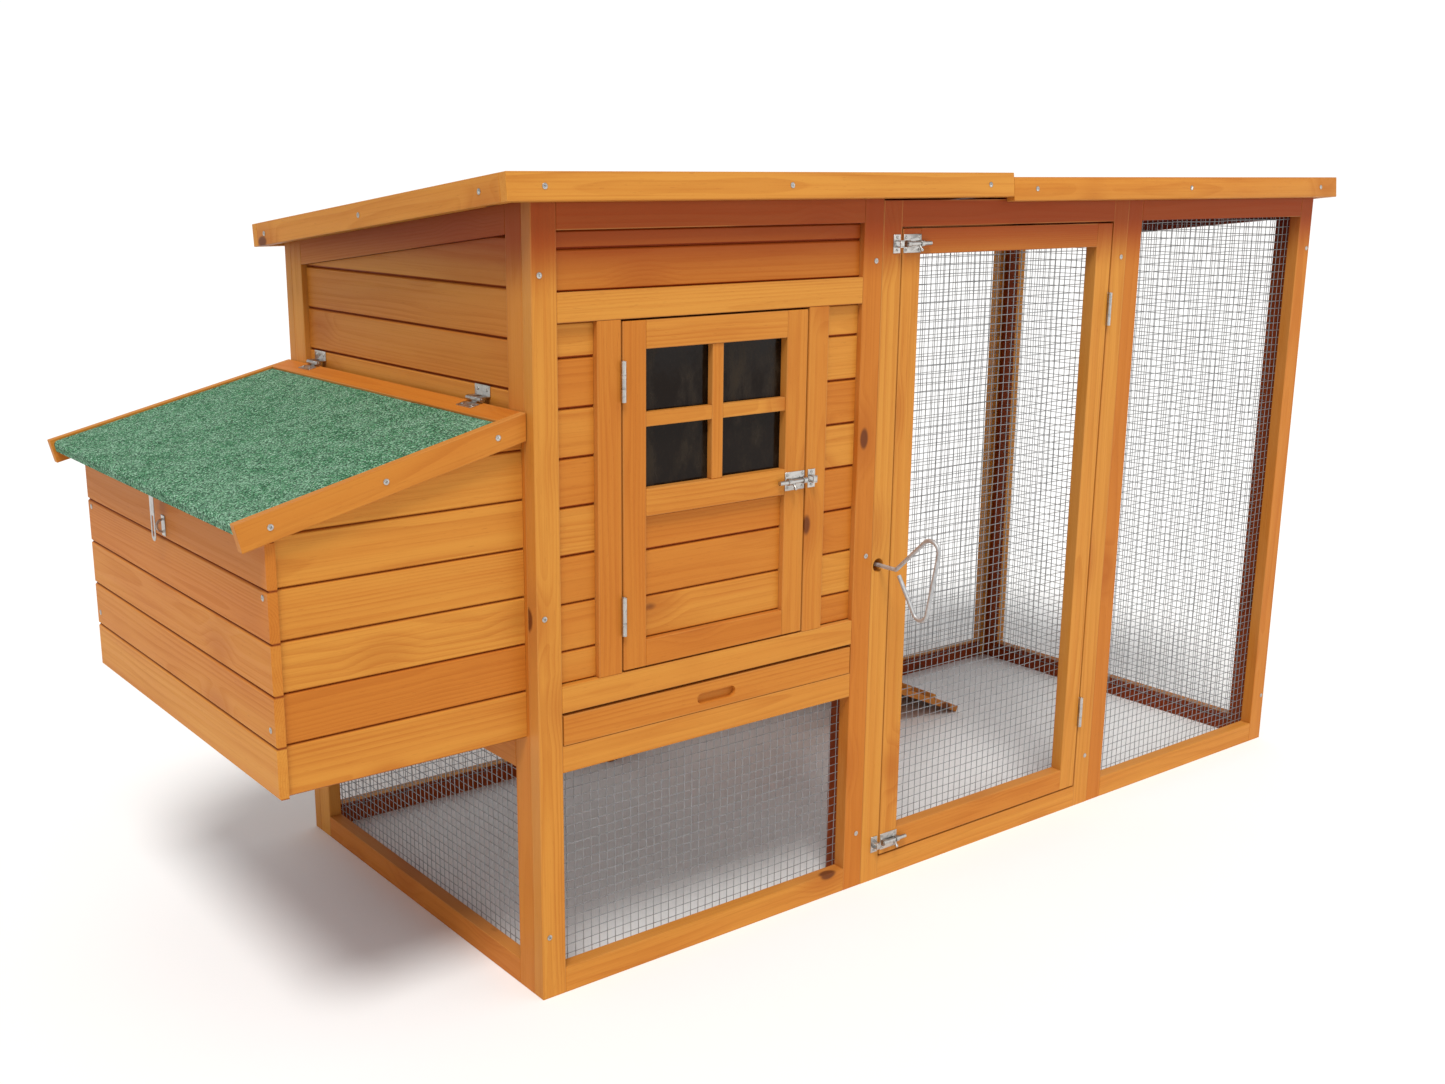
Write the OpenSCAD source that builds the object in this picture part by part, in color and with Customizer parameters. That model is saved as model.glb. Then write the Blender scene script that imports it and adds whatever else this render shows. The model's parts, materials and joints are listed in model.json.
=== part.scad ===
// Raised hen house with a side nest box, a meshed run and a lean-to roof.
// Millimetres, +X to the right along the front, +Y to the back, +Z up.
// Walls are framed in flat battens; the origin is under the middle of the whole.

/* [Base and roof] */
// Length of the base, house and run together
base_w = 1600; // [1300:10:2000]
// Depth of the base
base_d = 680; // [560:10:820]
// Width of the raised house at the left end
house_w = 560; // [480:10:700]
// Height of the house front wall
house_h = 1000; // [930:10:1200]
// How much lower the run frames stand than the house
run_drop = 6; // [0:1:20]
// Fall of the roof towards the back, in degrees
roof_fall = 6; // [3:1:12]
// Roof overhang at each end
roof_side = 40; // [25:1:80]
// Roof overhang at the front and at the back
roof_front = 18; // [18:1:60]
// Height of the fascia boards
fascia_h = 33; // [31:1:60]

/* [Timber] */
// Thickness of the frames
frame_t = 20; // [16:1:30]
// Face width of stiles and rails
stile_w = 35; // [25:1:50]
// Cladding board thickness
board_t = 12; // [8:1:15]
// Cover width of one cladding board
board_pitch = 60; // [40:1:90]
// Chamfer along the board edges
board_chamfer = 2.5; // [1:0.5:4]
// Thickness of trim, fascia and lid side boards
trim_t = 15; // [10:1:20]

/* [House levels] */
// Underside of the rail below the tray
low_rail_z = 302; // [220:1:340]
// Height of the tray opening
tray_gap = 43.5; // [35:0.5:60]
// Underside of the rail above the door
head_rail_z = 859; // [780:1:900]

/* [House door] */
// Left edge of the door opening
door_x = 126; // [110:1:150]
// Width of the door opening
door_w = 304; // [240:1:330]
// Gap around the doors
door_gap = 2.5; // [2:0.5:4]
// Height of the middle rail above the bottom of the door
mid_rail_up = 195; // [150:1:230]
// Width of the window bars
muntin_w = 18; // [12:1:24]
// Depth of the window bars
muntin_t = 10; // [6:1:12]
// Window sheet thickness
pane_t = 3; // [2:0.5:4]

/* [Run] */
// Right edge of the run door opening
run_door_end = 1053; // [900:1:1150]
// Thickness that stands for the welded mesh
mesh_t = 1; // [0.8:0.1:2]
// How far the mesh laps over its frame
mesh_lap = 12; // [8:1:14]

/* [Nest box] */
// Depth of the nest box out from the wall
nest_out = 328; // [250:1:400]
// Front edge of the nest box
nest_y0 = 21; // [21:1:30]
// Back edge of the nest box
nest_y1 = 638; // [560:1:650]
// Underside of the nest box
nest_z = 349; // [345:1:380]
// Reach of the lid out from the wall
lid_reach = 363; // [290:1:450]
// Height of the lid at the wall
lid_z = 757; // [740:1:790]
// Fall of the lid, in degrees
lid_fall = 13.5; // [8:0.5:20]
// Height of the lid side boards
lid_side_h = 33; // [25:1:40]
// Thickness of the lid side boards
lid_side_t = 12; // [10:1:15]
// Front edge of the lid
lid_y0 = 14; // [13:1:16]
// Back edge of the lid
lid_y1 = 684; // [660:1:700]

/* [Pop door and ramp] */
// Front edge of the pop hole
pop_y = 442; // [400:1:460]
// Width of the pop hole
pop_w = 170; // [150:1:180]
// Height of the pop hole, in boards
pop_boards = 4; // [3:1:4]
// Travel of the pop door
pop_travel = 200; // [150:1:210]
// Diameter of the pull rod
rod_d = 6; // [5:0.5:8]
// Height of the pull rod above the ground
rod_z = 489; // [440:1:520]
// Where the ramp meets the ground, from the house
ramp_foot = 690; // [550:10:760]
// Width of the ramp
ramp_w = 180; // [140:1:185]

/* [Hardware] */
// Hinge length
hinge_h = 50; // [40:1:60]
// Length of the lid hinges
lid_hinge_h = 36; // [30:1:50]
// Reach of a lid hinge leaf beyond its barrel
lid_leaf = 13; // [10:1:20]
// Hinge barrel radius
knuckle_r = 3.2; // [3:0.1:4]
// Hinge pin radius
pin_r = 1.5; // [1.2:0.1:2]
// Sheet thickness of the hinges and bolt plates
plate_t = 1; // [0.8:0.1:1.2]
// Bolt radius
bolt_r = 3; // [2.5:0.1:3.5]
// Screw head radius
screw_r = 3.6; // [3:0.1:5]

/* [Hidden] */
$fn = 48;

// ---- fits
clear = 0.3;            // between pieces that move past each other
bore_play = 0.08;       // radial play of pins and bolts
joint = 0.1;            // between timbers that butt against each other
eps = 0.01;

// ---- colours
fir = [0.80, 0.55, 0.27];
fir_dark = [0.62, 0.36, 0.16];
zinc = [0.75, 0.76, 0.78];
felt_green = [0.25, 0.50, 0.35];
smoke = [0.15, 0.13, 0.11, 0.8];

// ---- roof line
roof_tan = tan(roof_fall);
run_h = house_h - run_drop;
function house_top(y) = house_h - y * roof_tan;
function run_top(y) = run_h - y * roof_tan;
rail_drop = stile_w / cos(roof_fall);
batten_t = 18;
deck_t = 9;
felt_t = 2;
fascia_up = batten_t + deck_t + felt_t;
roof_len = (base_d + roof_front) / cos(roof_fall);
roof_split = base_w / 2;
seam = 0.5;

// ---- house levels
inner_y0 = frame_t;
inner_y1 = base_d - frame_t;
tray_z = low_rail_z + stile_w;
sill_z = tray_z + tray_gap;
sill_top = sill_z + stile_w;
head_top = head_rail_z + stile_w;
board_ref = sill_top + 41.5;
recess = frame_t - board_t;
mesh_in = max(stile_w - mesh_lap, frame_t + joint);
part_x = house_w - frame_t;

// ---- house door
door_x0 = door_x + door_gap;
door_x1 = door_x + door_w - door_gap;
door_z0 = sill_top + door_gap;
door_z1 = head_rail_z - door_gap;
door_mid = door_z0 + mid_rail_up;
win_z0 = door_mid + stile_w;
win_z1 = door_z1 - stile_w;
win_mid = (win_z0 + win_z1) / 2;

// ---- run
run_x0 = house_w + stile_w;
panel_x = run_door_end + stile_w;
rdoor_x0 = run_x0 + door_gap;
rdoor_x1 = run_door_end - door_gap;
rdoor_z0 = stile_w + door_gap;
rdoor_z1 = run_h - stile_w - door_gap;
back_mid = (house_w + base_w) / 2;

// ---- hinges and bolts
hinge_leaf = 16;
pin_out = knuckle_r;
hinge_in = 58;
bolt_out = plate_t + bolt_r + 1.6;
bolt_case = 34;
keeper_t = 1.5;
knob_down = 55;
bolt_len = 48;
house_bolt_z = door_mid + stile_w / 2;
run_bolt_top_z = rdoor_z1 - 20;
run_bolt_low_z = rdoor_z0 + 20;
screw_t = 1.2;

// ---- pull rod and pop door
rod_x = house_w + 14.3;
pop_lap = 10;
pop_t = 9;
pop_z0 = tray_z + 4;
pop_hole_z = tray_z + pop_boards * board_pitch;
pop_y0 = pop_y - pop_lap;
pop_y1 = pop_y + pop_w + pop_lap;
pop_z1 = pop_hole_z + pop_lap;
rod_hole_d = 20;
loop_in = 34;
loop_a = [-loop_in, rod_z];
loop_b = [-112.6, rod_z + 52];
loop_c = [-88, rod_z - 61];

// ---- nest box and lid
lid_tan = tan(lid_fall);
nest_board_ref = nest_z + 61;
nest_wall_y0 = nest_y0 + 6;
nest_wall_y1 = nest_y1 - 6;
lid_felt_down = 3;
lid_panel_t = 12;
lid_under = (lid_felt_down + felt_t + lid_panel_t) / cos(lid_fall);
function lid_top(out) = lid_z - out * lid_tan;
function nest_top(out) = lid_top(out) - lid_under - 0.6;
lid_len = lid_reach / cos(lid_fall);
lid_pin_x = -knuckle_r - 0.6;
lid_pin_z = lid_z + knuckle_r + 0.4;
lid_hinge_ys = [frame_t + stile_w + lid_hinge_h / 2 + 54, base_d - frame_t - stile_w - lid_hinge_h / 2 - 17];
hinge_rail_w = stile_w;
lid_rail_t = 15;
lid_wall_gap = 1;
lid_lip = 4;
hasp_y = 334;
hasp_w = 14;
hasp_x = -nest_out - 13;
hasp_z = nest_top(nest_out) - 9;
hasp_len = 62;
staple_z = hasp_z - 44;
staple_r = 9;

// ---- ramp
ramp_pin_x = house_w + knuckle_r + plate_t + 1;
ramp_pin_z = low_rail_z + 12;
ramp_t = 12;
ramp_y0 = pop_y + pop_w / 2 - ramp_w / 2;
ramp_under = knuckle_r + ramp_t;
ramp_dip = atan((ramp_pin_z - ramp_under) / (ramp_foot + house_w - ramp_pin_x));
ramp_len = (ramp_pin_z - ramp_under * cos(ramp_dip)) / sin(ramp_dip);

// ---- the whole, for the origin
x_low = -lid_reach;
x_high = base_w + roof_side + screw_t;
y_low = loop_b[0] - rod_d / 2 - 0.1;
y_high = roof_len * cos(roof_fall) + fascia_up * sin(roof_fall);
origin = [(x_low + x_high) / 2, (y_low + y_high) / 2, 0];

// ================= shared shapes

module placed() translate(-origin) children();

// A box from its lowest corner to its highest corner
module block(low, high) translate(low) cube(high - low);

// An outline in the Y-Z plane, drawn out along X from x0 to x1
module along_x(x0, x1, points)
    translate([x0, 0, 0]) rotate([90, 0, 90]) linear_extrude(x1 - x0) polygon(points);

// An outline in the X-Z plane, drawn out along Y from y0 to y1
module along_y(y0, y1, points)
    translate([0, y1, 0]) rotate([90, 0, 0]) linear_extrude(y1 - y0) polygon(points);

// A round bar between two points
module bar(a, b, r) {
    d = b - a;
    translate(a) rotate([0, atan2(norm([d[0], d[1]]), d[2]), atan2(d[1], d[0])]) cylinder(r = r, h = norm(d));
}

// Where the joints between boards fall, from lo to hi, in step with ref
function board_edges(lo, hi, ref) = concat([lo],
    [for (k = [ceil((lo + 10 - ref) / board_pitch) : floor((hi - 10 - ref) / board_pitch)]) ref + k * board_pitch],
    [hi]);

// Cladding along +X with its face at y = 0 looking to -Y
module cladding(length, lo, hi, ref) {
    edges = board_edges(lo, hi, ref);
    c = board_chamfer;
    for (i = [0 : len(edges) - 2])
        along_x(joint, length - joint, [[c, edges[i] + joint], [board_t, edges[i] + joint],
            [board_t, edges[i + 1] - joint], [c, edges[i + 1] - joint], [0, edges[i + 1] - c],
            [0, edges[i] + c]]);
}

// A rail that follows the roof line in a side wall
module sloping_rail(x, drop) {
    ya = inner_y0 + stile_w + joint;
    yb = inner_y1 - stile_w - joint;
    top_a = house_top(ya) - drop;
    top_b = house_top(yb) - drop;
    along_x(x, x + frame_t, [[ya, top_a - rail_drop], [yb, top_b - rail_drop], [yb, top_b], [ya, top_a]]);
}

// A level rail between the stiles of a side wall
module side_rail(x, z)
    block([x, inner_y0 + stile_w + joint, z], [x + frame_t, inner_y1 - stile_w - joint, z + stile_w]);

// A side wall stile with its top cut to the roof line
module sloping_stile(x, y, h0, h1)
    along_x(x, x + frame_t, [[y, 0], [y + stile_w, 0], [y + stile_w, h1], [y, h0]]);

// Both stiles, the roof-line rail and, unless foot is false, the foot rail of a side wall
module side_wall_frame(x, drop, foot = true) {
    ya = inner_y0;
    yb = inner_y1 - stile_w;
    sloping_stile(x, ya, house_top(ya) - drop, house_top(ya + stile_w) - drop);
    sloping_stile(x, yb, house_top(yb) - drop, house_top(yb + stile_w) - drop);
    sloping_rail(x, drop);
    if (foot) side_rail(x, 0);
}

// The space in a side wall below its roof-line rail, as a cutter
module under_roof_line(x0, x1, top_shift)
    along_x(x0, x1, [[0, 0], [base_d, 0], [base_d, house_top(base_d) - top_shift], [0, house_top(0) - top_shift]]);

// A rail between two stiles in a wall that faces the front or back
module rail(x0, x1, y, z) block([x0 + joint, y, z], [x1 - joint, y + frame_t, z + stile_w]);

// A stile of the same walls
module stile(x, y, z0, z1) block([x, y, z0], [x + stile_w, y + frame_t, z1]);

// The top of a wall that faces the front or back, cut to the roof line
module back_top_rail(x0, x1, h) {
    y = base_d - frame_t;
    along_x(x0 + joint, x1 - joint, [[y, h - base_d * roof_tan - stile_w], [base_d, h - base_d * roof_tan - stile_w],
        [base_d, h - base_d * roof_tan], [y, h - y * roof_tan]]);
}

module front_top_rail(x0, x1, h)
    along_x(x0 + joint, x1 - joint, [[0, h - stile_w], [frame_t, h - stile_w], [frame_t, h - frame_t * roof_tan], [0, h]]);

module front_stile(x, h)
    along_x(x, x + stile_w, [[0, 0], [frame_t, 0], [frame_t, h - frame_t * roof_tan], [0, h]]);

module back_stile(x, h) {
    y = base_d - frame_t;
    along_x(x, x + stile_w, [[y, 0], [base_d, 0], [base_d, h - base_d * roof_tan], [y, h - y * roof_tan]]);
}

// Everything in the roof is laid in its sloping plane, z = 0 on the wall tops
module roof_plane(drop) translate([0, 0, house_h - drop + joint]) rotate([-roof_fall, 0, 0]) children();

// The same for the nest lid: x runs out from the wall, z = 0 on its top edges
module lid_plane() translate([0, 0, lid_z]) rotate([0, -lid_fall, 0]) children();

// Hinge barrel in three parts around Z; moving = 0 gives the outer two
module hinge_barrel(moving, long = hinge_h) {
    third = long / 3;
    spans = moving == 1 ? [[third + 0.2, 2 * third - 0.2]] : [[0, third - 0.2], [2 * third + 0.2, long]];
    for (s = spans)
        translate([0, 0, s[0] - long / 2]) difference() {
            cylinder(r = knuckle_r, h = s[1] - s[0]);
            translate([0, 0, -1]) cylinder(r = pin_r + bore_play, h = long);
        }
}

// A butt hinge leaf that goes back into the gap beside a door, from a barrel in front of the face.
// side is -1 for the leaf on the left of the gap and 1 for the one on the right.
module butt_leaf(moving, side) {
    hinge_barrel(moving);
    third = hinge_h / 3;
    spans = moving == 1 ? [[third + 0.2, 2 * third - 0.2]] : [[0, third - 0.2], [2 * third + 0.2, hinge_h]];
    x0 = side > 0 ? 0.15 : -0.15 - plate_t;
    for (s = spans)
        block([x0, pin_r + 0.6, s[0] - hinge_h / 2], [x0 + plate_t, knuckle_r + 1, s[1] - hinge_h / 2]);
    block([x0, knuckle_r + 0.3, -hinge_h / 2], [x0 + plate_t, knuckle_r + hinge_leaf, hinge_h / 2]);
}

// Where the two door hinges stand
module at_house_hinges()
    for (z = [door_z0 + hinge_in + 14, door_z1 - hinge_in - 14])
        translate([door_x + door_gap / 2, -pin_out, z]) children();

module at_run_hinges()
    for (z = [rdoor_z0 + 72 + hinge_in, rdoor_z1 - 72 - hinge_in])
        translate([run_door_end - door_gap / 2, -pin_out, z]) children();

module at_lid_hinges()
    for (y = lid_hinge_ys) translate([lid_pin_x, y, lid_pin_z]) rotate([90, 0, 0]) children();

module at_ramp_hinges()
    for (y = [ramp_y0 + 32, ramp_y0 + ramp_w - 32])
        translate([ramp_pin_x, y, ramp_pin_z]) rotate([90, 0, 0]) children();

// Barrel bolt parts, pointing to +X, with the door edge at x = 0
module bolt_ring(x0, x1)
    difference() {
        union() {
            translate([x0, -bolt_out, 0]) rotate([0, 90, 0]) cylinder(r = bolt_r + 1.5, h = x1 - x0);
            block([x0, -bolt_out, -bolt_r - 1.5], [x1, -plate_t + eps, bolt_r + 1.5]);
        }
        translate([x0 - 1, -bolt_out, 0]) rotate([0, 90, 0]) cylinder(r = bolt_r + bore_play, h = x1 - x0 + 2);
    }

module bolt_case() {
    block([-bolt_case - 1, -plate_t, -12.5], [-1, 0, 12.5]);
    bolt_ring(-bolt_case, -bolt_case + 6);
    bolt_ring(-8, -2);
}

module bolt_rod() {
    translate([-bolt_len - 1, -bolt_out, 0]) rotate([0, 90, 0]) cylinder(r = bolt_r, h = bolt_len);
    translate([-bolt_case + 8.5, -bolt_out, 0]) rotate([90 + knob_down, 0, 0]) {
        cylinder(r = 1.8, h = bolt_r + 7);
        translate([0, 0, bolt_r + 7]) sphere(r = 2.6);
    }
}

// A plate with a square loop of flat bar that the bolt slides into
module bolt_keeper() {
    x0 = door_gap + 5;
    x1 = door_gap + 12;
    near = bolt_r + clear;
    far = near + keeper_t;
    block([door_gap + 3, -plate_t, -12.5], [door_gap + 16, 0, 12.5]);
    block([x0, -bolt_out - far, near], [x1, -plate_t - joint, far]);
    block([x0, -bolt_out - far, -far], [x1, -plate_t - joint, -near]);
    block([x0, -bolt_out - far, joint - near], [x1, -bolt_out - near, near - joint]);
}

module at_house_bolt() translate([door_x1, 0, house_bolt_z]) children();
module at_run_bolt(z) translate([rdoor_x0, 0, z]) mirror([1, 0, 0]) children();

// Pan-head screw on a face that looks to -Y
module screw_front(x, z, y = 0) translate([x, y, z]) rotate([90, 0, 0]) cylinder(r = screw_r, h = screw_t);
// The same on a face that looks to -X
module screw_left(y, z, x = 0) translate([x, y, z]) rotate([0, -90, 0]) cylinder(r = screw_r, h = screw_t);

// ================= house

module house_front_frame() color(fir) placed() {
    front_stile(0, house_h);
    front_stile(house_w - stile_w, house_h);
    for (z = [0, low_rail_z, sill_z, head_rail_z]) rail(stile_w, house_w - stile_w, 0, z);
    front_top_rail(stile_w, house_w - stile_w, house_h);
}

module house_front_boards() color(fir) placed() translate([0, recess, 0]) {
    translate([stile_w, 0, 0]) cladding(house_w - 2 * stile_w, head_top, house_h - stile_w, head_top + 49);
    translate([stile_w, 0, 0]) cladding(door_x - 2 * stile_w, sill_top, head_rail_z, board_ref);
    translate([door_x + door_w + stile_w, 0, 0])
        cladding(house_w - 2 * stile_w - door_x - door_w, sill_top, head_rail_z, board_ref);
}

module door_jambs() color(fir) placed() {
    stile(door_x - stile_w, 0, sill_top + joint, head_rail_z - joint);
    stile(door_x + door_w, 0, sill_top + joint, head_rail_z - joint);
}

nest_header_z = lid_z - 57;
nest_mid = (nest_y0 + nest_y1) / 2;

module house_side_frame() color(fir) placed() {
    side_wall_frame(0, 0);
    side_rail(0, low_rail_z);
    side_rail(0, nest_header_z);
    block([0, nest_mid - stile_w / 2, tray_z + joint], [frame_t, nest_mid + stile_w / 2, nest_header_z - joint]);
}

module house_side_boards() color(fir) placed() intersection() {
    translate([recess, inner_y1 - stile_w, 0]) rotate([0, 0, -90])
        cladding(inner_y1 - inner_y0 - 2 * stile_w, nest_header_z + stile_w, house_h, head_rail_z - 22);
    under_roof_line(0, frame_t, rail_drop + joint);
}

module house_back_frame() color(fir) placed() {
    back_stile(0, house_h);
    back_stile(house_w - stile_w, house_h);
    for (z = [0, low_rail_z]) rail(stile_w, house_w - stile_w, base_d - frame_t, z);
    back_top_rail(stile_w, house_w - stile_w, house_h);
}

module house_back_boards() color(fir) placed()
    translate([house_w - stile_w, base_d - recess, 0]) rotate([0, 0, 180])
        cladding(house_w - 2 * stile_w, tray_z, house_top(base_d) - stile_w, board_ref);

// Welded mesh below the house, at the front, the left side and the back
module house_mesh() color(zinc) placed() {
    a = mesh_in;
    b = house_w - mesh_in;
    z1 = low_rail_z + mesh_lap;
    block([a, frame_t, a], [b, frame_t + mesh_t, z1]);
    block([a, inner_y1 - mesh_t, a], [b, inner_y1, z1]);
    block([frame_t, frame_t + a, a], [frame_t + mesh_t, inner_y1 - a, z1]);
}

module partition_frame() color(fir_dark) placed() {
    side_wall_frame(part_x, 0, false);
    side_rail(part_x, low_rail_z);
}

module partition_boards() color(fir) placed() difference() {
    intersection() {
        translate([house_w, inner_y0 + stile_w, 0]) rotate([0, 0, 90])
            cladding(inner_y1 - inner_y0 - 2 * stile_w, tray_z, house_h, tray_z);
        under_roof_line(part_x, house_w + 1, rail_drop + joint);
    }
    block([part_x, pop_y, tray_z - 1], [house_w + 1, pop_y + pop_w, pop_hole_z]);
}

// ================= pop door and ramp

module pop_door_runners() color(fir) placed() {
    y0 = pop_y0 - pop_travel - 12;
    y1 = inner_y1;
    slot = pop_t + 3;
    along_y(y0, y1, [[house_w, pop_z1 + 2], [house_w + slot, pop_z1 + 2], [house_w + slot, pop_z1 - 7],
        [house_w + slot + 7, pop_z1 - 7], [house_w + slot + 7, pop_z1 + 20], [house_w, pop_z1 + 20]]);
    along_y(y0, y1, [[house_w, pop_z0 - 1], [house_w + slot, pop_z0 - 1], [house_w + slot, pop_z0 + 7],
        [house_w + slot + 7, pop_z0 + 7], [house_w + slot + 7, pop_z0 - 12], [house_w, pop_z0 - 12]]);
}

module pop_door() color(fir) placed() {
    x0 = house_w + 1;
    block([x0, pop_y0, pop_z0 - 0.7], [x0 + pop_t, pop_y1, pop_z1]);
    for (y = [pop_y0 + 12, pop_y0 + 88])
        difference() {
            block([x0 + pop_t, y, rod_z - 7], [rod_x + rod_d / 2 + 2, y + 14, rod_z + 7]);
            bar([rod_x, y - 1, rod_z], [rod_x, y + 15, rod_z], rod_d / 2 + bore_play);
        }
}

module pull_rod() color(zinc) placed() {
    r = rod_d / 2;
    a = [rod_x, loop_a[0], loop_a[1]];
    b = [rod_x, loop_b[0], loop_b[1]];
    c = [rod_x, loop_c[0], loop_c[1]];
    bar([rod_x, pop_y0 + 112, rod_z], a, r);
    bar(a, b, r);
    bar(b, c, r);
    bar(c, [rod_x, loop_a[0] - 8, rod_z - 9], r);
    for (p = [a, b, c]) translate(p) sphere(r = r + 0.1);
}

// The ramp lies in its own plane: x runs down from the hinge pins, z = 0 through the pins
module ramp_plane() translate([ramp_pin_x, 0, ramp_pin_z]) rotate([0, ramp_dip, 0]) children();

module ramp_board() color(fir) placed() ramp_plane()
    block([knuckle_r + 1, ramp_y0, -ramp_under], [ramp_len, ramp_y0 + ramp_w, -knuckle_r]);

module ramp_cleats() color(fir) placed() ramp_plane()
    for (x = [70 : 75 : ramp_len - 20])
        block([x, ramp_y0 + 6, -knuckle_r], [x + 14, ramp_y0 + ramp_w - 6, 8 - knuckle_r]);

// ================= tray and perch

module tray_runners() color(fir) placed() {
    for (x = [frame_t, part_x - 30])
        block([x, inner_y0 + mesh_t + clear, low_rail_z + mesh_lap + 1], [x + 30, inner_y1 - mesh_t - clear, tray_z]);
}

tray_x0 = stile_w + 3;
tray_x1 = house_w - stile_w - 3;
tray_rise = 26;
grip_w = 50;
grip_h = 15;
grip_t = 7;

module tray_pan() color(zinc) placed() difference() {
    block([tray_x0, trim_t, tray_z + clear], [tray_x1, inner_y1 - 8, tray_z + clear + tray_rise]);
    block([tray_x0 + 1, trim_t + 1, tray_z + clear + 1], [tray_x1 - 1, inner_y1 - 9, tray_z + tray_rise + 2]);
}

module tray_front() color(fir) placed() {
    x0 = stile_w + 2;
    x1 = house_w - stile_w - 2;
    mid = (x0 + x1) / 2;
    z0 = tray_z + 1;
    z1 = sill_z - 4;
    zc = (z0 + z1) / 2 - 2;
    difference() {
        block([x0, 0, z0], [x1, trim_t, z1]);
        for (x = [mid - grip_w / 2, mid + grip_w / 2])
            translate([x, grip_t, zc]) rotate([90, 0, 0]) cylinder(d = grip_h, h = grip_t + 1);
        block([mid - grip_w / 2, -1, zc - grip_h / 2], [mid + grip_w / 2, grip_t, zc + grip_h / 2]);
    }
}

perch_z = pop_hole_z + board_pitch;

module perch() color(fir) placed()
    block([frame_t + clear, nest_mid - 17.5, perch_z], [part_x + recess - 4, nest_mid + 17.5, perch_z + 20]);

module perch_brackets() color(fir) placed() {
    block([frame_t, nest_mid - 17.5, perch_z - 30], [frame_t + 20, nest_mid + 17.5, perch_z]);
    block([part_x + recess - 20, nest_mid - 17.5, perch_z - 30], [part_x + recess, nest_mid + 17.5, perch_z]);
}

// ================= run

module run_front_frame() color(fir) placed() {
    difference() {
        front_stile(house_w, run_h);
        translate([rod_x - 1.3, -1, rod_z]) rotate([-90, 0, 0]) cylinder(d = rod_hole_d, h = frame_t + 2);
    }
    front_stile(run_door_end, run_h);
    rail(run_x0, run_door_end, 0, 0);
    front_top_rail(run_x0, run_door_end, run_h);
}

module run_panel_frame() color(fir) placed() {
    front_stile(panel_x, run_h);
    front_stile(base_w - stile_w, run_h);
    rail(panel_x + stile_w, base_w - stile_w, 0, 0);
    front_top_rail(panel_x + stile_w, base_w - stile_w, run_h);
}

module run_side_frame() color(fir_dark) placed() side_wall_frame(base_w - frame_t, run_drop);

module run_back_frame() color(fir_dark) placed() {
    for (x = [house_w, back_mid - stile_w / 2, base_w - stile_w]) back_stile(x, run_h);
    for (s = [[run_x0, back_mid - stile_w / 2], [back_mid + stile_w / 2, base_w - stile_w]]) {
        rail(s[0], s[1], base_d - frame_t, 0);
        back_top_rail(s[0], s[1], run_h);
    }
}

module run_mesh() color(zinc) placed() {
    a = mesh_in;
    top = run_h - stile_w + mesh_lap;
    block([panel_x + a, frame_t, a], [base_w - a, frame_t + mesh_t, top]);
    back_top = run_top(base_d) - stile_w + mesh_lap;
    block([house_w + a, inner_y1 - mesh_t, a], [base_w - a, inner_y1, back_top]);
    x = base_w - frame_t - mesh_t;
    along_x(x, x + mesh_t, [[frame_t + a, a], [inner_y1 - a, a],
        [inner_y1 - a, run_top(inner_y1 - a) - rail_drop + mesh_lap],
        [frame_t + a, run_top(frame_t + a) - rail_drop + mesh_lap]]);
}

// ================= nest box

module nest_front_wall() color(fir) placed() difference() {
    translate([-nest_out, nest_y1, 0]) rotate([0, 0, -90])
        cladding(nest_y1 - nest_y0, nest_z, nest_top(nest_out), nest_board_ref);
    // clears the side board of the lid
    block([-nest_out - 1, 0, lid_top(nest_out) - lid_side_h / cos(lid_fall) - 1],
        [board_t - nest_out + 1, lid_y0 + lid_side_t + 1, lid_z]);
}

module nest_side_walls() color(fir) placed() intersection() {
    union() {
        translate([-nest_out + board_t, nest_wall_y0, 0]) cladding(nest_out - board_t, nest_z, lid_z, nest_board_ref);
        translate([0, nest_wall_y1, 0]) rotate([0, 0, 180])
            cladding(nest_out - board_t, nest_z, lid_z, nest_board_ref);
    }
    along_y(0, base_d, [[-nest_out, 0], [0, 0], [0, nest_top(0)], [-nest_out, nest_top(nest_out)]]);
}

module nest_battens() color(fir) placed() {
    s = 18;
    for (y = [nest_wall_y0 + board_t, nest_wall_y1 - board_t - s]) {
        out = nest_out - board_t;
        along_y(y, y + s, [[-out, nest_z + 14], [-out + s, nest_z + 14], [-out + s, nest_top(out - s)],
            [-out, nest_top(out)]]);
    }
}

module nest_floor() color(fir_dark) placed()
    block([-nest_out + board_t, nest_wall_y0 + board_t, nest_z + 3], [0, nest_wall_y1 - board_t, nest_z + 14]);

module nest_divider() color(fir) placed()
    along_y(nest_mid - 6, nest_mid + 6, [[-nest_out + board_t, nest_z + 14], [0, nest_z + 14],
        [0, nest_z + 200], [-nest_out + board_t, nest_z + 200]]);

module nest_lid_frame() color(fir) placed() intersection() {
    lid_plane() {
        for (y = [lid_y0, lid_y1 - lid_side_t])
            block([-lid_len, y, -lid_side_h], [lid_side_h, y + lid_side_t, 0]);
        block([-hinge_rail_w, lid_y0 + lid_side_t + joint, -lid_rail_t],
            [lid_side_h, lid_y1 - lid_side_t - joint, 0]);
    }
    block([-2 * lid_reach, 0, 0], [-lid_wall_gap, base_d + lid_y1, house_h]);
}

module nest_lid_panel() color(fir_dark) placed() lid_plane()
    block([-lid_len + lid_lip + felt_t, lid_y0 + lid_side_t, -lid_felt_down - felt_t - lid_panel_t],
        [-hinge_rail_w, lid_y1 - lid_side_t, -lid_felt_down - felt_t]);

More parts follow.
